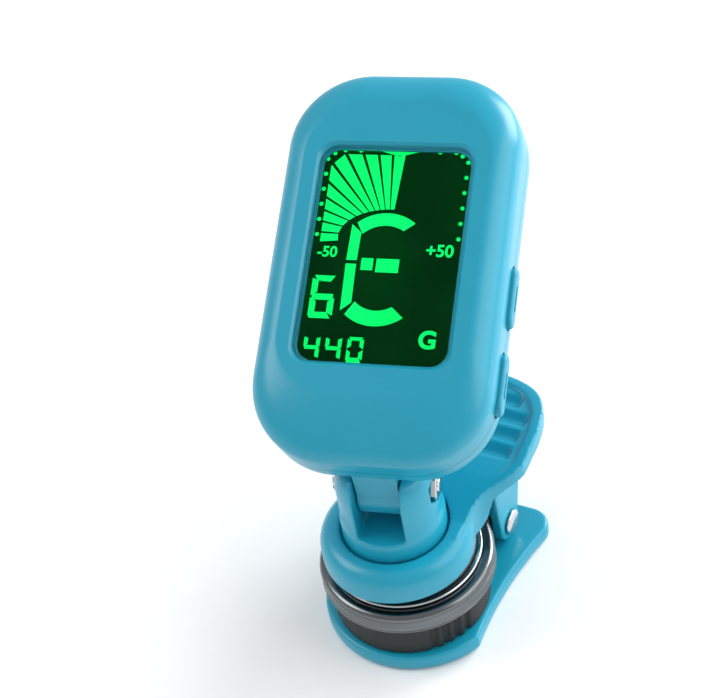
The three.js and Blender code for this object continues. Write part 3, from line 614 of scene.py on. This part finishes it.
def makeBatteryCover():
    radius = (coverHigh.x - coverLow.x) / 2
    middleY = (coverLow.y + coverHigh.y) / 2
    cover = rodZ("battery_lid", radius, 0, middleY, coverLow.z, coverHigh.z, 96)
    roundEdges(cover, lambda a, b: max(a.z, b.z) < coverLow.z + 0.01, coverForm["edge"], 3)
    pickParts(cover, "FACE", lambda centre, normal: normal.z < -0.95)
    bpy.ops.mesh.inset(thickness=coverForm["rim"])
    bpy.ops.mesh.inset(thickness=coverForm["step"])
    bpy.ops.transform.translate(value=(0, 0, coverForm["sink"]))
    closeEdit()
    length, width = coverForm["slotLength"] / 2, coverForm["slotWidth"] / 2
    slotCut = roundedBlock("slot", (-length, middleY - width, coverLow.z - 1),
                           (length, middleY + width, coverLow.z + coverForm["slotDepth"]),
                           coverForm["slotCorner"], 5)
    combine(cover, slotCut)
    settle(cover, headPlace, "battery_cover", matteAbs, "blue_plastic", "battery_cover", smooth=30)


makeBatteryCover()

# side buttons, each with a small raised bar
buttonForm = {"flange": 0.7, "edge": 0.42, "barLength": 3.2, "barWidth": 0.5, "barHeight": 0.14}


def makeButton(nodeName, pieceName):
    low, high = span(nodeName, headPlace)
    stem = capsule(pieceName, low, high, buttonLip, low.x + 0.2, high.x, buttonForm["edge"])
    flange = capsule("flange", low, high, 0, low.x, low.x + buttonForm["flange"])
    middle = (low + high) / 2
    width = buttonForm["barWidth"] / 2
    half = Vector((0, buttonForm["barLength"] / 2 + width, width))
    bar = capsule("bar", middle - half, middle + half, 0, high.x - 0.6, high.x + buttonForm["barHeight"], 0.08, 8)
    combine(stem, [flange, bar], "UNION")
    settle(stem, headPlace, nodeName, matteAbs, "blue_plastic", nodeName, smooth=40)


makeButton("power_button", "power_key")
makeButton("mode_button", "mode_key")
print("buttons and battery cover made")

# display window and what the display shows
windowForm = {"corner": 2.5, "edge": 0.18}
segmentForm = {"lift": 0.02, "thick": 0.05}
windowMiddle = (windowLow + windowHigh) / 2


def makeWindow():
    lens = roundedBlock("window_lens", windowLow, windowHigh, windowForm["corner"], 10)
    roundEdges(lens, lambda a, b: min(a.z, b.z) > windowHigh.z - 0.01, windowForm["edge"], 3)
    settle(lens, headPlace, "head", polishedAcrylic, "clear_window", "display_window", smooth=30)


fan = {"centre": (0, 3.0), "inner": (7.3, 4.2), "outer": (9.8, 15.4), "outerCorner": 1.8, "wedges": 11,
       "step": 9.2, "gap": 1.9}
dots = {"pitch": 2.3, "radius": 0.3, "side": 10.15, "middle": -0.25, "top": 16.0, "onSide": 6, "onTop": 5}


def fanPoint(angle, reach):     # where a ray from the centre meets the inner arc (0) or the outer frame (1)
    turn = math.radians(angle)
    direction = Vector((math.cos(turn), math.sin(turn)))
    centre = Vector(fan["centre"])
    if reach == 0:
        a, b = fan["inner"]
        return tuple(centre + direction / math.sqrt((direction.x / a) ** 2 + (direction.y / b) ** 2))
    width, height = fan["outer"]
    lengths = [width / abs(direction.x)] if abs(direction.x) > 1e-6 else []
    if direction.y > 1e-6:
        lengths.append((height - centre.y) / direction.y)
    cut = (width + height - centre.y - fan["outerCorner"]) / (abs(direction.x) + max(direction.y, 0))
    return tuple(centre + direction * min(lengths + [cut]))


def fanWedges():
    outlines = []
    for i in range(fan["wedges"]):
        middle = 90 + i * fan["step"]
        half = (fan["step"] - fan["gap"]) / 2
        angles = [middle - half + 2 * half * k / 6 for k in range(7)]
        outlines.append([fanPoint(angle, 0) for angle in angles]
                        + [fanPoint(angle, 1) for angle in reversed(angles)])
    return outlines


def dotRing():
    places = []
    for side in (-1, 1):
        edge = dots["middle"] + side * dots["side"]
        places += [(edge, fan["centre"][1] + 0.1 + dots["pitch"] * i) for i in range(dots["onSide"])]
        places += [(side * dots["pitch"] * (i + 0.5), dots["top"]) for i in range(2, dots["onTop"] - 1)]
        places.append((edge - side * 0.9, dots["top"] - 0.5))
    return [arcPoints(x, y, dots["radius"], 0, 330, 11) for x, y in places]


letterForm = {"x": -0.4, "arcRadius": 6.6, "arcDrop": 5.4, "topY": 4.6, "bottomY": -9.7, "shift": (-0.1, 0.8)}


def bigLetter():        # a note name built from seven curved and straight segments
    def cap(middleY, flip, outerTurn, innerTurn, innerRadius):
        centre = (letterForm["x"], middleY - flip * letterForm["arcDrop"])
        return (arcPoints(*centre, letterForm["arcRadius"], *outerTurn, 12)
                + arcPoints(*centre, innerRadius, *innerTurn, 12))
    outlines = [cap(letterForm["topY"], 1, (130, 52), (58, 134), 4.75),
                cap(letterForm["bottomY"], -1, (230, 308), (302, 226), 4.35),
                [(-5.35, 4.0), (-3.9, 2.8), (-4.0, -1.35), (-5.5, -1.35)],
                [(-5.5, -1.9), (-4.0, -1.9), (-3.9, -7.6), (-5.35, -8.8)],
                [(-3.3, -1.0), (-1.6, -1.0), (-1.6, -2.75), (-3.3, -2.75)],
                [(-1.15, -1.0), (2.1, -1.0), (2.1, -3.0), (-1.15, -3.0)]]
    dx, dy = letterForm["shift"]
    return [[(x + dx, y + dy) for x, y in outline] for outline in outlines]


digitBars = {       # bars lit for each digit: top, middle, bottom, and the four uprights
    "0": ("top", "bottom", "upLeft", "upRight", "lowLeft", "lowRight"),
    "4": ("middle", "upLeft", "upRight", "lowRight"),
    "6": ("top", "middle", "bottom", "upLeft", "lowLeft", "lowRight"),
}


def digit(symbol, x, y, width, height, stroke):
    slim = stroke * 0.5
    gap = stroke * 0.14
    outlines = []
    rows = {"top": y + height, "middle": y + height / 2 + slim, "bottom": y + stroke}
    sides = {"upLeft": (x, 1), "upRight": (x + width, 1), "lowLeft": (x, 0), "lowRight": (x + width, 0)}
    for bar in digitBars[symbol]:
        if bar in rows:
            top = rows[bar]
            taper = 0 if bar == "middle" else stroke * 0.8
            wideTop = stroke * 0.8 if bar == "bottom" else gap
            wideLow = taper if bar == "top" else gap
            outlines.append([(x + wideTop + gap, top), (x + width - wideTop - gap, top),
                             (x + width - wideLow - gap, top - stroke), (x + wideLow + gap, top - stroke)])
        else:
            edge, upper = sides[bar]
            inward = 1 if edge == x else -1
            low = y + (height / 2 + gap if upper else gap)
            high = y + (height - gap if upper else height / 2 - gap)
            tip = stroke * 0.7
            outerLow = low + (0 if upper else tip / 2)
            outerHigh = high - (tip / 2 if upper else 0)
            innerLow = low + (slim + gap if upper else tip)
            innerHigh = high - (tip if upper else slim + gap)
            outlines.append([(edge, outerLow), (edge, outerHigh), (edge + inward * stroke, innerHigh),
                             (edge + inward * stroke, innerLow)])
    return outlines


def textPlate(body, size, x, y, weight=0.05):
    deselect()
    bpy.ops.object.text_add()
    text = bpy.context.object
    text.data.body = body
    text.data.size = size
    text.data.align_x = "CENTER"
    text.data.align_y = "CENTER"
    text.data.extrude = segmentForm["thick"] / 2
    text.data.offset = weight
    bpy.ops.object.convert(target="MESH")
    text = bpy.context.object
    text.data.transform(Matrix.Translation((x, y, segmentForm["thick"] / 2)))
    bpy.ops.object.mode_set(mode="EDIT")
    mergeDoubles()
    return text


def makeSegments():
    outlines = fanWedges() + dotRing() + bigLetter()
    outlines.append([(-3.5, 16.2), (3.5, 16.2), (0, 15.25)][::-1])
    outlines += digit("6", -10.0, -9.3, 3.5, 6.3, 0.9)
    for i, symbol in enumerate("440"):
        outlines += digit(symbol, -9.9 + 3.1 * i, -15.3, 2.3, 3.5, 0.55)
    flat = newPlate("display_segments", outlines, 0, segmentForm["thick"])
    parts = [flat, textPlate("-50", 2.2, -8.5, 0.5), textPlate("+50", 2.5, 7.5, 1.2),
             textPlate("G", 3.5, 7.4, -11.8, 0.12)]
    segments = joinPieces(parts)
    segments.name = "display_segments"
    panelHigh = span("lcd_panel", headPlace)[1]
    layer = panelHigh.z + segmentForm["lift"]
    segments.data.transform(Matrix.Translation((windowMiddle.x, windowMiddle.y, layer)))
    settle(segments, headPlace, "head", greenSegment, "lcd_glass")


makeWindow()
makeSegments()
print("window and display made")

# fork that carries the head
forkForm = {"foot": 7.7, "neck": 7.4, "slot": 6.9, "slotFloor": 3.0, "collar": 2.6,
            "sink": 0.6, "pocket": 1.18, "nutPocket": 2.7, "headPocket": 2.2, "bore": 1.15, "boss": 2.5}
armTop = joints["head_swivel"]["pos_m"][2] / millimetre
tiltHeight = tiltPoint.z / millimetre
forkLow, forkHigh = span("swivel_fork", forkPlace)


def makeFork():
    foot, neck, collar = forkForm["foot"], forkForm["neck"], armTop + forkForm["collar"]
    base = armTop - forkForm["sink"]
    top = forkHigh.z
    profile = [(0, base), (foot, base), (foot, collar), (neck, collar + 1.2), (neck, tiltHeight)]
    profile += [(neck - i * i / 16, tiltHeight + (top - tiltHeight) * math.sin(math.radians(15 * i)))
                for i in range(1, 6)]
    profile += [(neck - 2.6, top), (0, top)]
    post = spinProfile("fork_post", profile)
    half = forkForm["slot"] / 2
    pocket = neck - forkForm["pocket"]
    cuts = [newSolid("slotCut", (-half, -10, armTop + forkForm["slotFloor"]), (half, 10, top + 2)),
            rodX("nutPocket", forkForm["nutPocket"], pocket, 10, 0, tiltHeight, 6),
            rodX("headPocket", forkForm["headPocket"], -10, -pocket, 0, tiltHeight, 48),
            rodX("bore", forkForm["bore"], -10, 10, 0, tiltHeight, 32)]
    combine(post, cuts)
    combine(post, rodZ("boss", forkForm["boss"], 0, 0, forkLow.z, armTop, 48), "UNION")
    soften(post, 0.2, 5)
    settle(post, forkPlace, "fork", satinAbs, "blue_plastic", "swivel_fork")


makeFork()
print("fork made")

# tilt nut and screw
nutForm = {"edge": 0.22, "bore": 1.12}


def makeNut():
    low, high = span("tilt_nut", forkPlace)
    middle = (low + high) / 2
    nut = rodX("hex_nut", (high.z - low.z) / 2, low.x, high.x, middle.y, middle.z, 6)
    nut.data.transform(Matrix.Translation(middle) @ Matrix.Rotation(math.radians(30), 4, "X")
                       @ Matrix.Translation(-middle))
    roundEdges(nut, lambda a, b: abs(a.x - b.x) < 0.01, nutForm["edge"], 2)
    combine(nut, rodX("bore", nutForm["bore"], low.x - 1, high.x + 1, middle.y, middle.z, 32))
    settle(nut, forkPlace, "fork", brightSteel, "bright_steel", "tilt_nut", smooth=30)


boltForm = {"head": 1.3, "shank": 1.0, "edge": 0.25, "ridges": 12, "ridge": 1.06, "pitch": 0.4,
            "ridgeHalf": 0.1, "dome": 0.4, "driverHalf": 0.28, "driverDepth": 0.6}


def makeTiltScrew():
    low, high = span("tilt_screw", forkPlace)
    z = (low.z + high.z) / 2
    headEnd = low.x + boltForm["head"]
    shank = rodX("tilt_bolt", boltForm["shank"], headEnd - 0.2, high.x, 0, z, 40)
    roundEdges(shank, lambda a, b: min(a.x, b.x) > high.x - 0.01, boltForm["edge"], 3)
    half = boltForm["ridgeHalf"]
    for i in range(boltForm["ridges"]):     # thread ridges on the end that shows through the nut
        x = high.x - 0.45 - boltForm["pitch"] * i
        combine(shank, rodX("ridge", boltForm["ridge"], x - half, x + half, 0, z, 40), "UNION")
    knob = rodX("head", (high.z - low.z) / 2, low.x, headEnd, 0, z)
    roundEdges(knob, lambda a, b: max(a.x, b.x) < low.x + 0.01, boltForm["dome"], 4)
    combine(knob, newSolid("driver", (low.x - 1, -3, z - boltForm["driverHalf"]),
                           (low.x + boltForm["driverDepth"], 3, z + boltForm["driverHalf"])))
    combine(shank, knob, "UNION")
    settle(shank, forkPlace, "fork", brightSteel, "bright_steel", "tilt_screw", smooth=32)


makeNut()
makeTiltScrew()
print("tilt screw made")

# upper arm: round jaw, neck, paddle with grooves, hinge ears
armForm = {"jaw": 11.3, "fillet": 2.6, "neck": 10.0, "neckEnd": 5.0, "wide": 14.2, "full": 14.5, "end": 30.4,
           "tipCurve": 3.4, "rise": 3.3, "edge": 2.9, "skin": 1.8, "wall": 1.5, "rim": 1.5, "dish": 0.45,
           "shoulder": 1.3, "seatDepth": 0.8, "seatGap": 0.3, "pinHole": 1.25}
grooveForm = {"count": 4, "first": 4.8, "pitch": 3.2, "radius": 1.3, "depth": 0.75, "endGap": 1.3,
              "endTurn": 2.2}
earForm = {"outer": 9.7, "thick": 1.6, "footGap": 2.9, "frontLean": -1.1, "backLean": 4.6}
hingePoint = Vector(joints["jaw_hinge"]["pos_m"]) / millimetre
armBottom = span("jaw_collar", clipPlace)[1].z + 0.15


def armOutline(inset):
    neck = armForm["neck"] - inset
    wide = armForm["wide"] - inset
    end = armForm["end"] - inset
    flare = (armForm["neckEnd"] + armForm["full"]) / 2
    right = [(neck, 0)]
    right += bezierPoints((neck, armForm["neckEnd"]), (neck, flare), (wide - 1, flare + 0.7),
                          (wide, armForm["full"]), 16)
    right += bezierPoints((wide, armForm["full"]), (wide, end - armForm["tipCurve"]), (wide - 1.5, end),
                          (0, end), 32)[1:-1]
    return right + [(0, end)] + [(-x, y) for x, y in reversed(right)]


def armTopAt(y):        # height of the arm's back: level over the jaw, then rising to the paddle
    t = min(max((y - 3) / 27, 0), 1)
    return armTop + armForm["rise"] * (1 - (1 - t) ** 2)


armStations = range(-1, 34)


def makeArmBody():      # the plan outline cut to the side outline, its neck sloped, with the round jaw added
    lowEdge = armTop + armForm["rise"] - armForm["edge"]
    underside = [(34, lowEdge), (22, lowEdge - 0.3), (15, lowEdge - 0.7), (11.4, lowEdge - 1),
                 (9.6, lowEdge - 1.9), (8.4, armBottom + 0.8), (7.2, armBottom), (-1, armBottom)]
    arm = newPlate("arm_and_paddle", [armOutline(0)], armBottom - 2, armTop + 8)
    side = [(y, armTopAt(y)) for y in armStations] + underside
    combine(arm, sidePlate("side", side, -20, 20), "INTERSECT")
    slope = armForm["shoulder"]
    for side in (-1, 1):
        wedge = newSolid("wedge", (side * (armForm["neck"] - 2 * slope), -2, armTop - slope),
                         (side * (armForm["neck"] + 6), 9, armTop + 6))
        inner = min(abs(v.co.x) for v in wedge.data.vertices)
        movePart(wedge, "EDGE", lambda a, b: max(abs(a.x), abs(b.x)) < inner + 0.01
                 and max(a.z, b.z) < armTop, (0, 0, 1.6 * slope))
        movePart(wedge, "VERT", lambda v: v.y > 8, (side * 2.6, 0, 2.0))
        combine(arm, wedge)
    fillet = armForm["fillet"]
    jawProfile = [(0, armBottom), (armForm["jaw"] - 0.3, armBottom), (armForm["jaw"], armBottom + 0.3)]
    jawProfile += arcPoints(armForm["jaw"] - fillet, armTop - fillet, fillet, 0, 90, 9) + [(0, armTop)]
    return combine(arm, spinProfile("jaw", jawProfile), "UNION")


def hollowCuts():       # the dished top and the two hollows underneath
    roof = [(y, armTopAt(y) - armForm["skin"]) for y in armStations[4:]]
    roof += [(34, armBottom - 4), (3, armBottom - 4)]
    hollow = newPlate("hollow", [armOutline(armForm["wall"])], armBottom - 3, armTop + 8)
    combine(hollow, sidePlate("roof", roof, -20, 20), "INTERSECT")
    dish = newPlate("dish", [armOutline(armForm["rim"])], armTop - 4, armTop + 12)
    dishSide = [(y, armTopAt(y) - armForm["dish"] * min(1, (y - 11) / 5)) for y in armStations[12:]]
    dishSide += [(34, armTop + 14), (11, armTop + 14)]
    combine(dish, sidePlate("dishSide", dishSide, -20, 20), "INTERSECT")
    jawRoof = armTop - armForm["seatDepth"] - armForm["skin"]
    jawInside = armForm["jaw"] - armForm["wall"]
    return [rodZ("jawHollow", jawInside, 0, 0, armBottom - 2, jawRoof, 96), hollow, dish]


def grooveCuts():
    cuts = []
    for i in range(grooveForm["count"]):
        y = armForm["end"] - grooveForm["first"] - i * grooveForm["pitch"]
        reach = armForm["wide"] - armForm["rim"] - grooveForm["endGap"] - (0 if i else grooveForm["endTurn"])
        z = armTopAt(y) - armForm["dish"] + grooveForm["radius"] - grooveForm["depth"]
        cuts.append(rodX("groove", grooveForm["radius"], -reach, reach, y, z, 32))
    return cuts


def makeEars():     # taper from the paddle down to the hinge
    ears = []
    tip = hingePoint.z - earForm["footGap"]
    hingeY, hingeZ = hingePoint.y, hingePoint.z
    for side in (-1, 1):
        low, high = sorted((side * earForm["outer"], side * (earForm["outer"] - earForm["thick"])))
        ears.append(rodX("earTip", tip, low, high, hingeY, hingeZ, 48))
        plate = newSolid("ear", (low, hingeY - tip, hingeZ), (high, hingeY + tip, armTop + 0.6))
        movePart(plate, "EDGE", lambda a, b: min(a.z, b.z) > armTop and max(a.y, b.y) < hingeY,
                 (0, earForm["frontLean"], -0.7))
        movePart(plate, "EDGE", lambda a, b: min(a.z, b.z) > armTop and min(a.y, b.y) > hingeY,
                 (0, earForm["backLean"], 1.0))
        ears.append(plate)
    return ears


def makeUpperArm():
    arm = makeArmBody()
    combine(arm, hollowCuts() + grooveCuts())
    combine(arm, makeEars(), "UNION")
    seat = forkForm["foot"] + armForm["seatGap"]
    combine(arm, [rodZ("forkSeat", seat, 0, 0, armTop - armForm["seatDepth"], armTop + 3, 96),
                  rodZ("bossHole", forkForm["boss"] + armForm["seatGap"], 0, 0, armBottom, armTop, 48),
                  rodX("pinHole", armForm["pinHole"], -15, 15, hingePoint.y, hingePoint.z, 32)])
    soften(arm, 0.24, 6)
    settle(arm, clipPlace, "upper_jaw", satinAbs, "blue_plastic", "upper_arm")


makeUpperArm()
print("upper arm made")

# steel stack under the jaw
bandForm = {"wall": 0.8, "lip": 1.6, "shoulder": 0.9, "groove": 0.12, "beadWall": 0.7}


def diskSize(nodeName):     # its radius, the y of its middle, and its lowest and highest z
    low, high = span(nodeName, clipPlace)
    return (high.x - low.x) / 2, (low.y + high.y) / 2, low.z, high.z


def makeBand():
    radius, y, low, high = diskSize("jaw_band")
    inner, shoulder, waist = radius - bandForm["wall"], bandForm["shoulder"], radius - bandForm["groove"]
    lip = radius - bandForm["lip"]
    profile = [(inner, low), (radius - 0.25, low), (radius - 0.05, low + 0.1), (radius, low + 0.35),
               (waist, low + 0.5), (waist, high - shoulder - 0.15)]
    profile += arcPoints(radius - shoulder, high - shoulder, shoulder, 0, 90, 6)
    profile += [(lip, high), (lip, high - 0.5), (inner, high - 0.9), (inner, low)]
    band = spinProfile("steel_band", profile, 160, y)
    settle(band, clipPlace, "upper_jaw", bandSteel, "steel_band", "jaw_band", smooth=40)


def makeBead():
    radius, y, low, high = diskSize("jaw_bead")
    inner, half = radius - bandForm["beadWall"], (high - low) / 2
    profile = [(inner, low)] + arcPoints(radius - half, low + half, half, -90, 90, 9)
    bead = spinProfile("steel_bead", profile + [(inner, high), (inner, low)], 160, y)
    settle(bead, clipPlace, "upper_jaw", beadSteel, "bright_steel", "jaw_bead", smooth=40)


makeBand()
makeBead()
print("steel stack made")

# lower arm: plate and hinge lugs
plateForm = {"thick": 2.6, "tipY": -11.5, "bulge": 8.2, "half": 12.8, "waist": 12.4, "lever": 14.0,
             "end": 23.1, "corner": 3.4, "lug": 1.8, "lugGap": 4.8, "lugRadius": 2.8, "lugBase": 1.5,
             "pinHole": 1.25, "edge": 0.55}


def plateOutline():
    half, bulge = plateForm["half"], plateForm["bulge"]
    radius = (half * half + bulge * bulge) / (2 * bulge)
    centreY = plateForm["tipY"] + radius
    spread = math.degrees(math.asin(half / radius))
    lever, corner = plateForm["lever"], plateForm["corner"]
    cornerY = plateForm["end"] - corner
    frontY = plateForm["tipY"] + bulge
    bow = 2 * plateForm["waist"] - (half + lever) / 2
    first = (half + (bow - half) * 2 / 3, frontY + (cornerY - frontY) / 3)
    second = (lever + (bow - lever) * 2 / 3, cornerY - (cornerY - frontY) / 3)
    side = bezierPoints((half, frontY), first, second, (lever, cornerY), 20)
    right = arcPoints(0, centreY, radius, -90, -90 + spread, 20)[:-1] + side
    right += arcPoints(lever - corner, cornerY, corner, 0, 90, 10)[1:]
    return right + [(-x, y) for x, y in reversed(right[1:])]


def makeLowerArm():
    plate = newPlate("base_plate", [plateOutline()], 0, plateForm["thick"], plateForm["edge"])
    lugs = []
    radius, inner = plateForm["lugRadius"], plateForm["lugGap"] / 2
    hingeY, hingeZ = hingePoint.y, hingePoint.z
    for side in (-1, 1):
        low, high = sorted((side * inner, side * (inner + plateForm["lug"])))
        lugs.append(rodX("lugTop", radius, low, high, hingeY, hingeZ, 48))
        lugs.append(newSolid("lug", (low, hingeY - radius, plateForm["lugBase"]),
                             (high, hingeY + radius, hingeZ)))
    combine(plate, lugs, "UNION")
    combine(plate, rodX("pinHole", plateForm["pinHole"], -8, 8, hingeY, hingeZ, 32))
    soften(plate, 0.25, 4)
    settle(plate, clipPlace, "lower_jaw", satinAbs, "blue_plastic", "lower_arm")


makeLowerArm()
print("lower arm made")

# rubber pads
padForm = {"taper": 0.965, "grooves": 4, "grooveRadius": 0.6, "start": -20, "step": 9, "lean": 0.97,
           "faceEdge": 0.5, "ringDepth": 0.25}


def makeLowerPad():
    radius, middleY, low, high = diskSize("lower_pad")
    pad = rodZ("rubber_block", radius, 0, middleY, low, high, 128)
    pickParts(pad, "VERT", lambda v: v.z < low + 0.01)
    taper = padForm["taper"]
    bpy.ops.transform.resize(value=(taper, taper, 1), center_override=(0, middleY, low))
    closeEdit()
    cuts = []
    for i in range(padForm["grooves"]):
        angle = math.radians(padForm["start"] - padForm["step"] * i)
        y = middleY + radius * math.sin(angle)
        for side in (-1, 1):
            x = side * radius * math.cos(angle)
            start, end = (x * padForm["lean"], y, low - 1), (x, y, high + 1)
            cuts.append(newRod("groove", padForm["grooveRadius"], start, end, 24))
    combine(pad, cuts)
    soften(pad, 0.22, 4)
    settle(pad, clipPlace, "lower_jaw", blackRubber, "black_rubber", "lower_pad")


def makeUpperPad():
    radius, middleY, low, high = diskSize("upper_pad")
    pad = rodZ("rubber_face", radius, 0, middleY, low, high, 128)
    roundEdges(pad, lambda a, b: max(a.z, b.z) < low + 0.01, padForm["faceEdge"], 4)
    pickParts(pad, "FACE", lambda centre, normal: normal.z < -0.95)
    for depth in (1, -1, 1):       # shallow rings that grip
        bpy.ops.mesh.inset(thickness=1.6)
        bpy.ops.mesh.inset(thickness=0.3)
        bpy.ops.transform.translate(value=(0, 0, depth * padForm["ringDepth"]))
    closeEdit()
    settle(pad, clipPlace, "upper_jaw", blackRubber, "black_rubber", "upper_pad", smooth=30)


makeLowerPad()
makeUpperPad()
print("pads made")

# hinge pin and spring
pinForm = {"radius": 1.1, "head": 2.0, "headThick": 0.7}


def makeHingePin():
    low, high = span("hinge_pin", clipPlace)
    radius, head, thick = pinForm["radius"], pinForm["head"], pinForm["headThick"]
    length = high.x - low.x
    neck = length - thick
    profile = [(0, 0), (radius - 0.15, 0), (radius, 0.15), (radius, neck), (head - 0.1, neck),
               (head, neck + 0.12)]
    for degrees in range(10, 90, 10):
        turn = math.radians(degrees)
        profile.append((head * math.cos(turn) ** 0.8, neck + 0.2 + (thick - 0.2) * math.sin(turn)))
    profile.append((0, length))
    pin = spinProfile("hinge_rivet", profile, 64)
    toX = Matrix(((0, 0, 1, low.x), (1, 0, 0, hingePoint.y), (0, 1, 0, hingePoint.z), (0, 0, 0, 1)))
    pin.data.transform(toX)
    settle(pin, clipPlace, "lower_jaw", brightSteel, "bright_steel", "hinge_pin", smooth=40)


springForm = {"wire": 0.8, "turns": 3.5, "mean": 1.8, "inner": 4.9, "outer": 7.4, "legY": 7.0, "restZ": 3.3}


def makeSpring():
    halfPath = [(springForm["inner"] - 1.2, hingePoint.y + springForm["legY"], springForm["restZ"]),
                (springForm["inner"], hingePoint.y + springForm["legY"] - 1, springForm["restZ"]),
                (springForm["inner"], hingePoint.y + 2.6, (springForm["restZ"] + hingePoint.z - 1.8) / 2)]
    steps = 56
    for i in range(steps + 1):
        turn = -math.pi / 2 + 2 * math.pi * springForm["turns"] * i / steps
        x = springForm["inner"] + (springForm["outer"] - springForm["inner"]) * i / steps
        halfPath.append((x, hingePoint.y + springForm["mean"] * math.cos(turn),
                         hingePoint.z + springForm["mean"] * math.sin(turn)))
    halfPath.append((springForm["outer"], hingePoint.y + 3.6, hingePoint.z + 4.2))
    halfPath.append((springForm["outer"], hingePoint.y + springForm["legY"] - 0.5, hingePoint.z + 10.4))
    path = [(-x, y, z) for x, y, z in reversed(halfPath)] + halfPath
    curve = bpy.data.curves.new("spring", "CURVE")
    curve.dimensions = "3D"
    curve.bevel_depth = springForm["wire"] / 2
    curve.bevel_resolution = 3
    curve.use_fill_caps = True
    spline = curve.splines.new("NURBS")
    spline.points.add(len(path) - 1)
    for point, place in zip(spline.points, path):
        point.co = (*place, 1)
    spline.use_endpoint_u = True
    spline.order_u = 3
    spline.resolution_u = 3
    spring = curveToMesh("spring_wire", curve)
    bpy.ops.object.shade_smooth()
    settle(spring, clipPlace, "lower_jaw", darkSteel, "spring_steel", "torsion_spring")


makeHingePin()
makeSpring()
print("hinge made")

# finishes for the nodes that keep their own shape
nodeFinishes = (
    (blackNylon, "jaw_collar tuner_chip"),
    (blackRubber, "zebra_connector"),
    (brightSteel, "hinge_pin_retainer swivel_washer swivel_screw quartz_crystal coin_cell"),
    (brightSteel, "power_switch mode_switch"),
    (darkSteel, " ".join(screwNames)),
    (displayGlass, "lcd_panel"),
    (milkyPlastic, "backlight_diffuser"),
    (boardMask, "circuit_board"),
    (lampResin, "backlight_led_left backlight_led_right"),
    (platedBrass, "piezo_disc battery_contact_negative battery_contact_positive"),
)
for finish, names in nodeFinishes:
    for nodeName in names.split():
        node = frame["nodes"][nodeName]
        if not node.data.materials:
            node.data.materials.append(finish)
        for holder in node.material_slots:
            holder.material = finish
print("kept nodes finished")

# floor and surroundings
deselect()
bpy.ops.mesh.primitive_plane_add(size=3, location=(0, 0, -0.0002))
floor = bpy.context.object
floor.name = "card_floor"
floor.data.materials.append(whiteCard)

world = bpy.data.worlds.new("paleStudio")
bpy.context.scene.world = world
world.use_nodes = True
world.node_tree.nodes["Background"].inputs["Color"].default_value = toLinear("#ffffff")
world.node_tree.nodes["Background"].inputs["Strength"].default_value = 0.57
bpy.context.scene.view_settings.view_transform = "Standard"
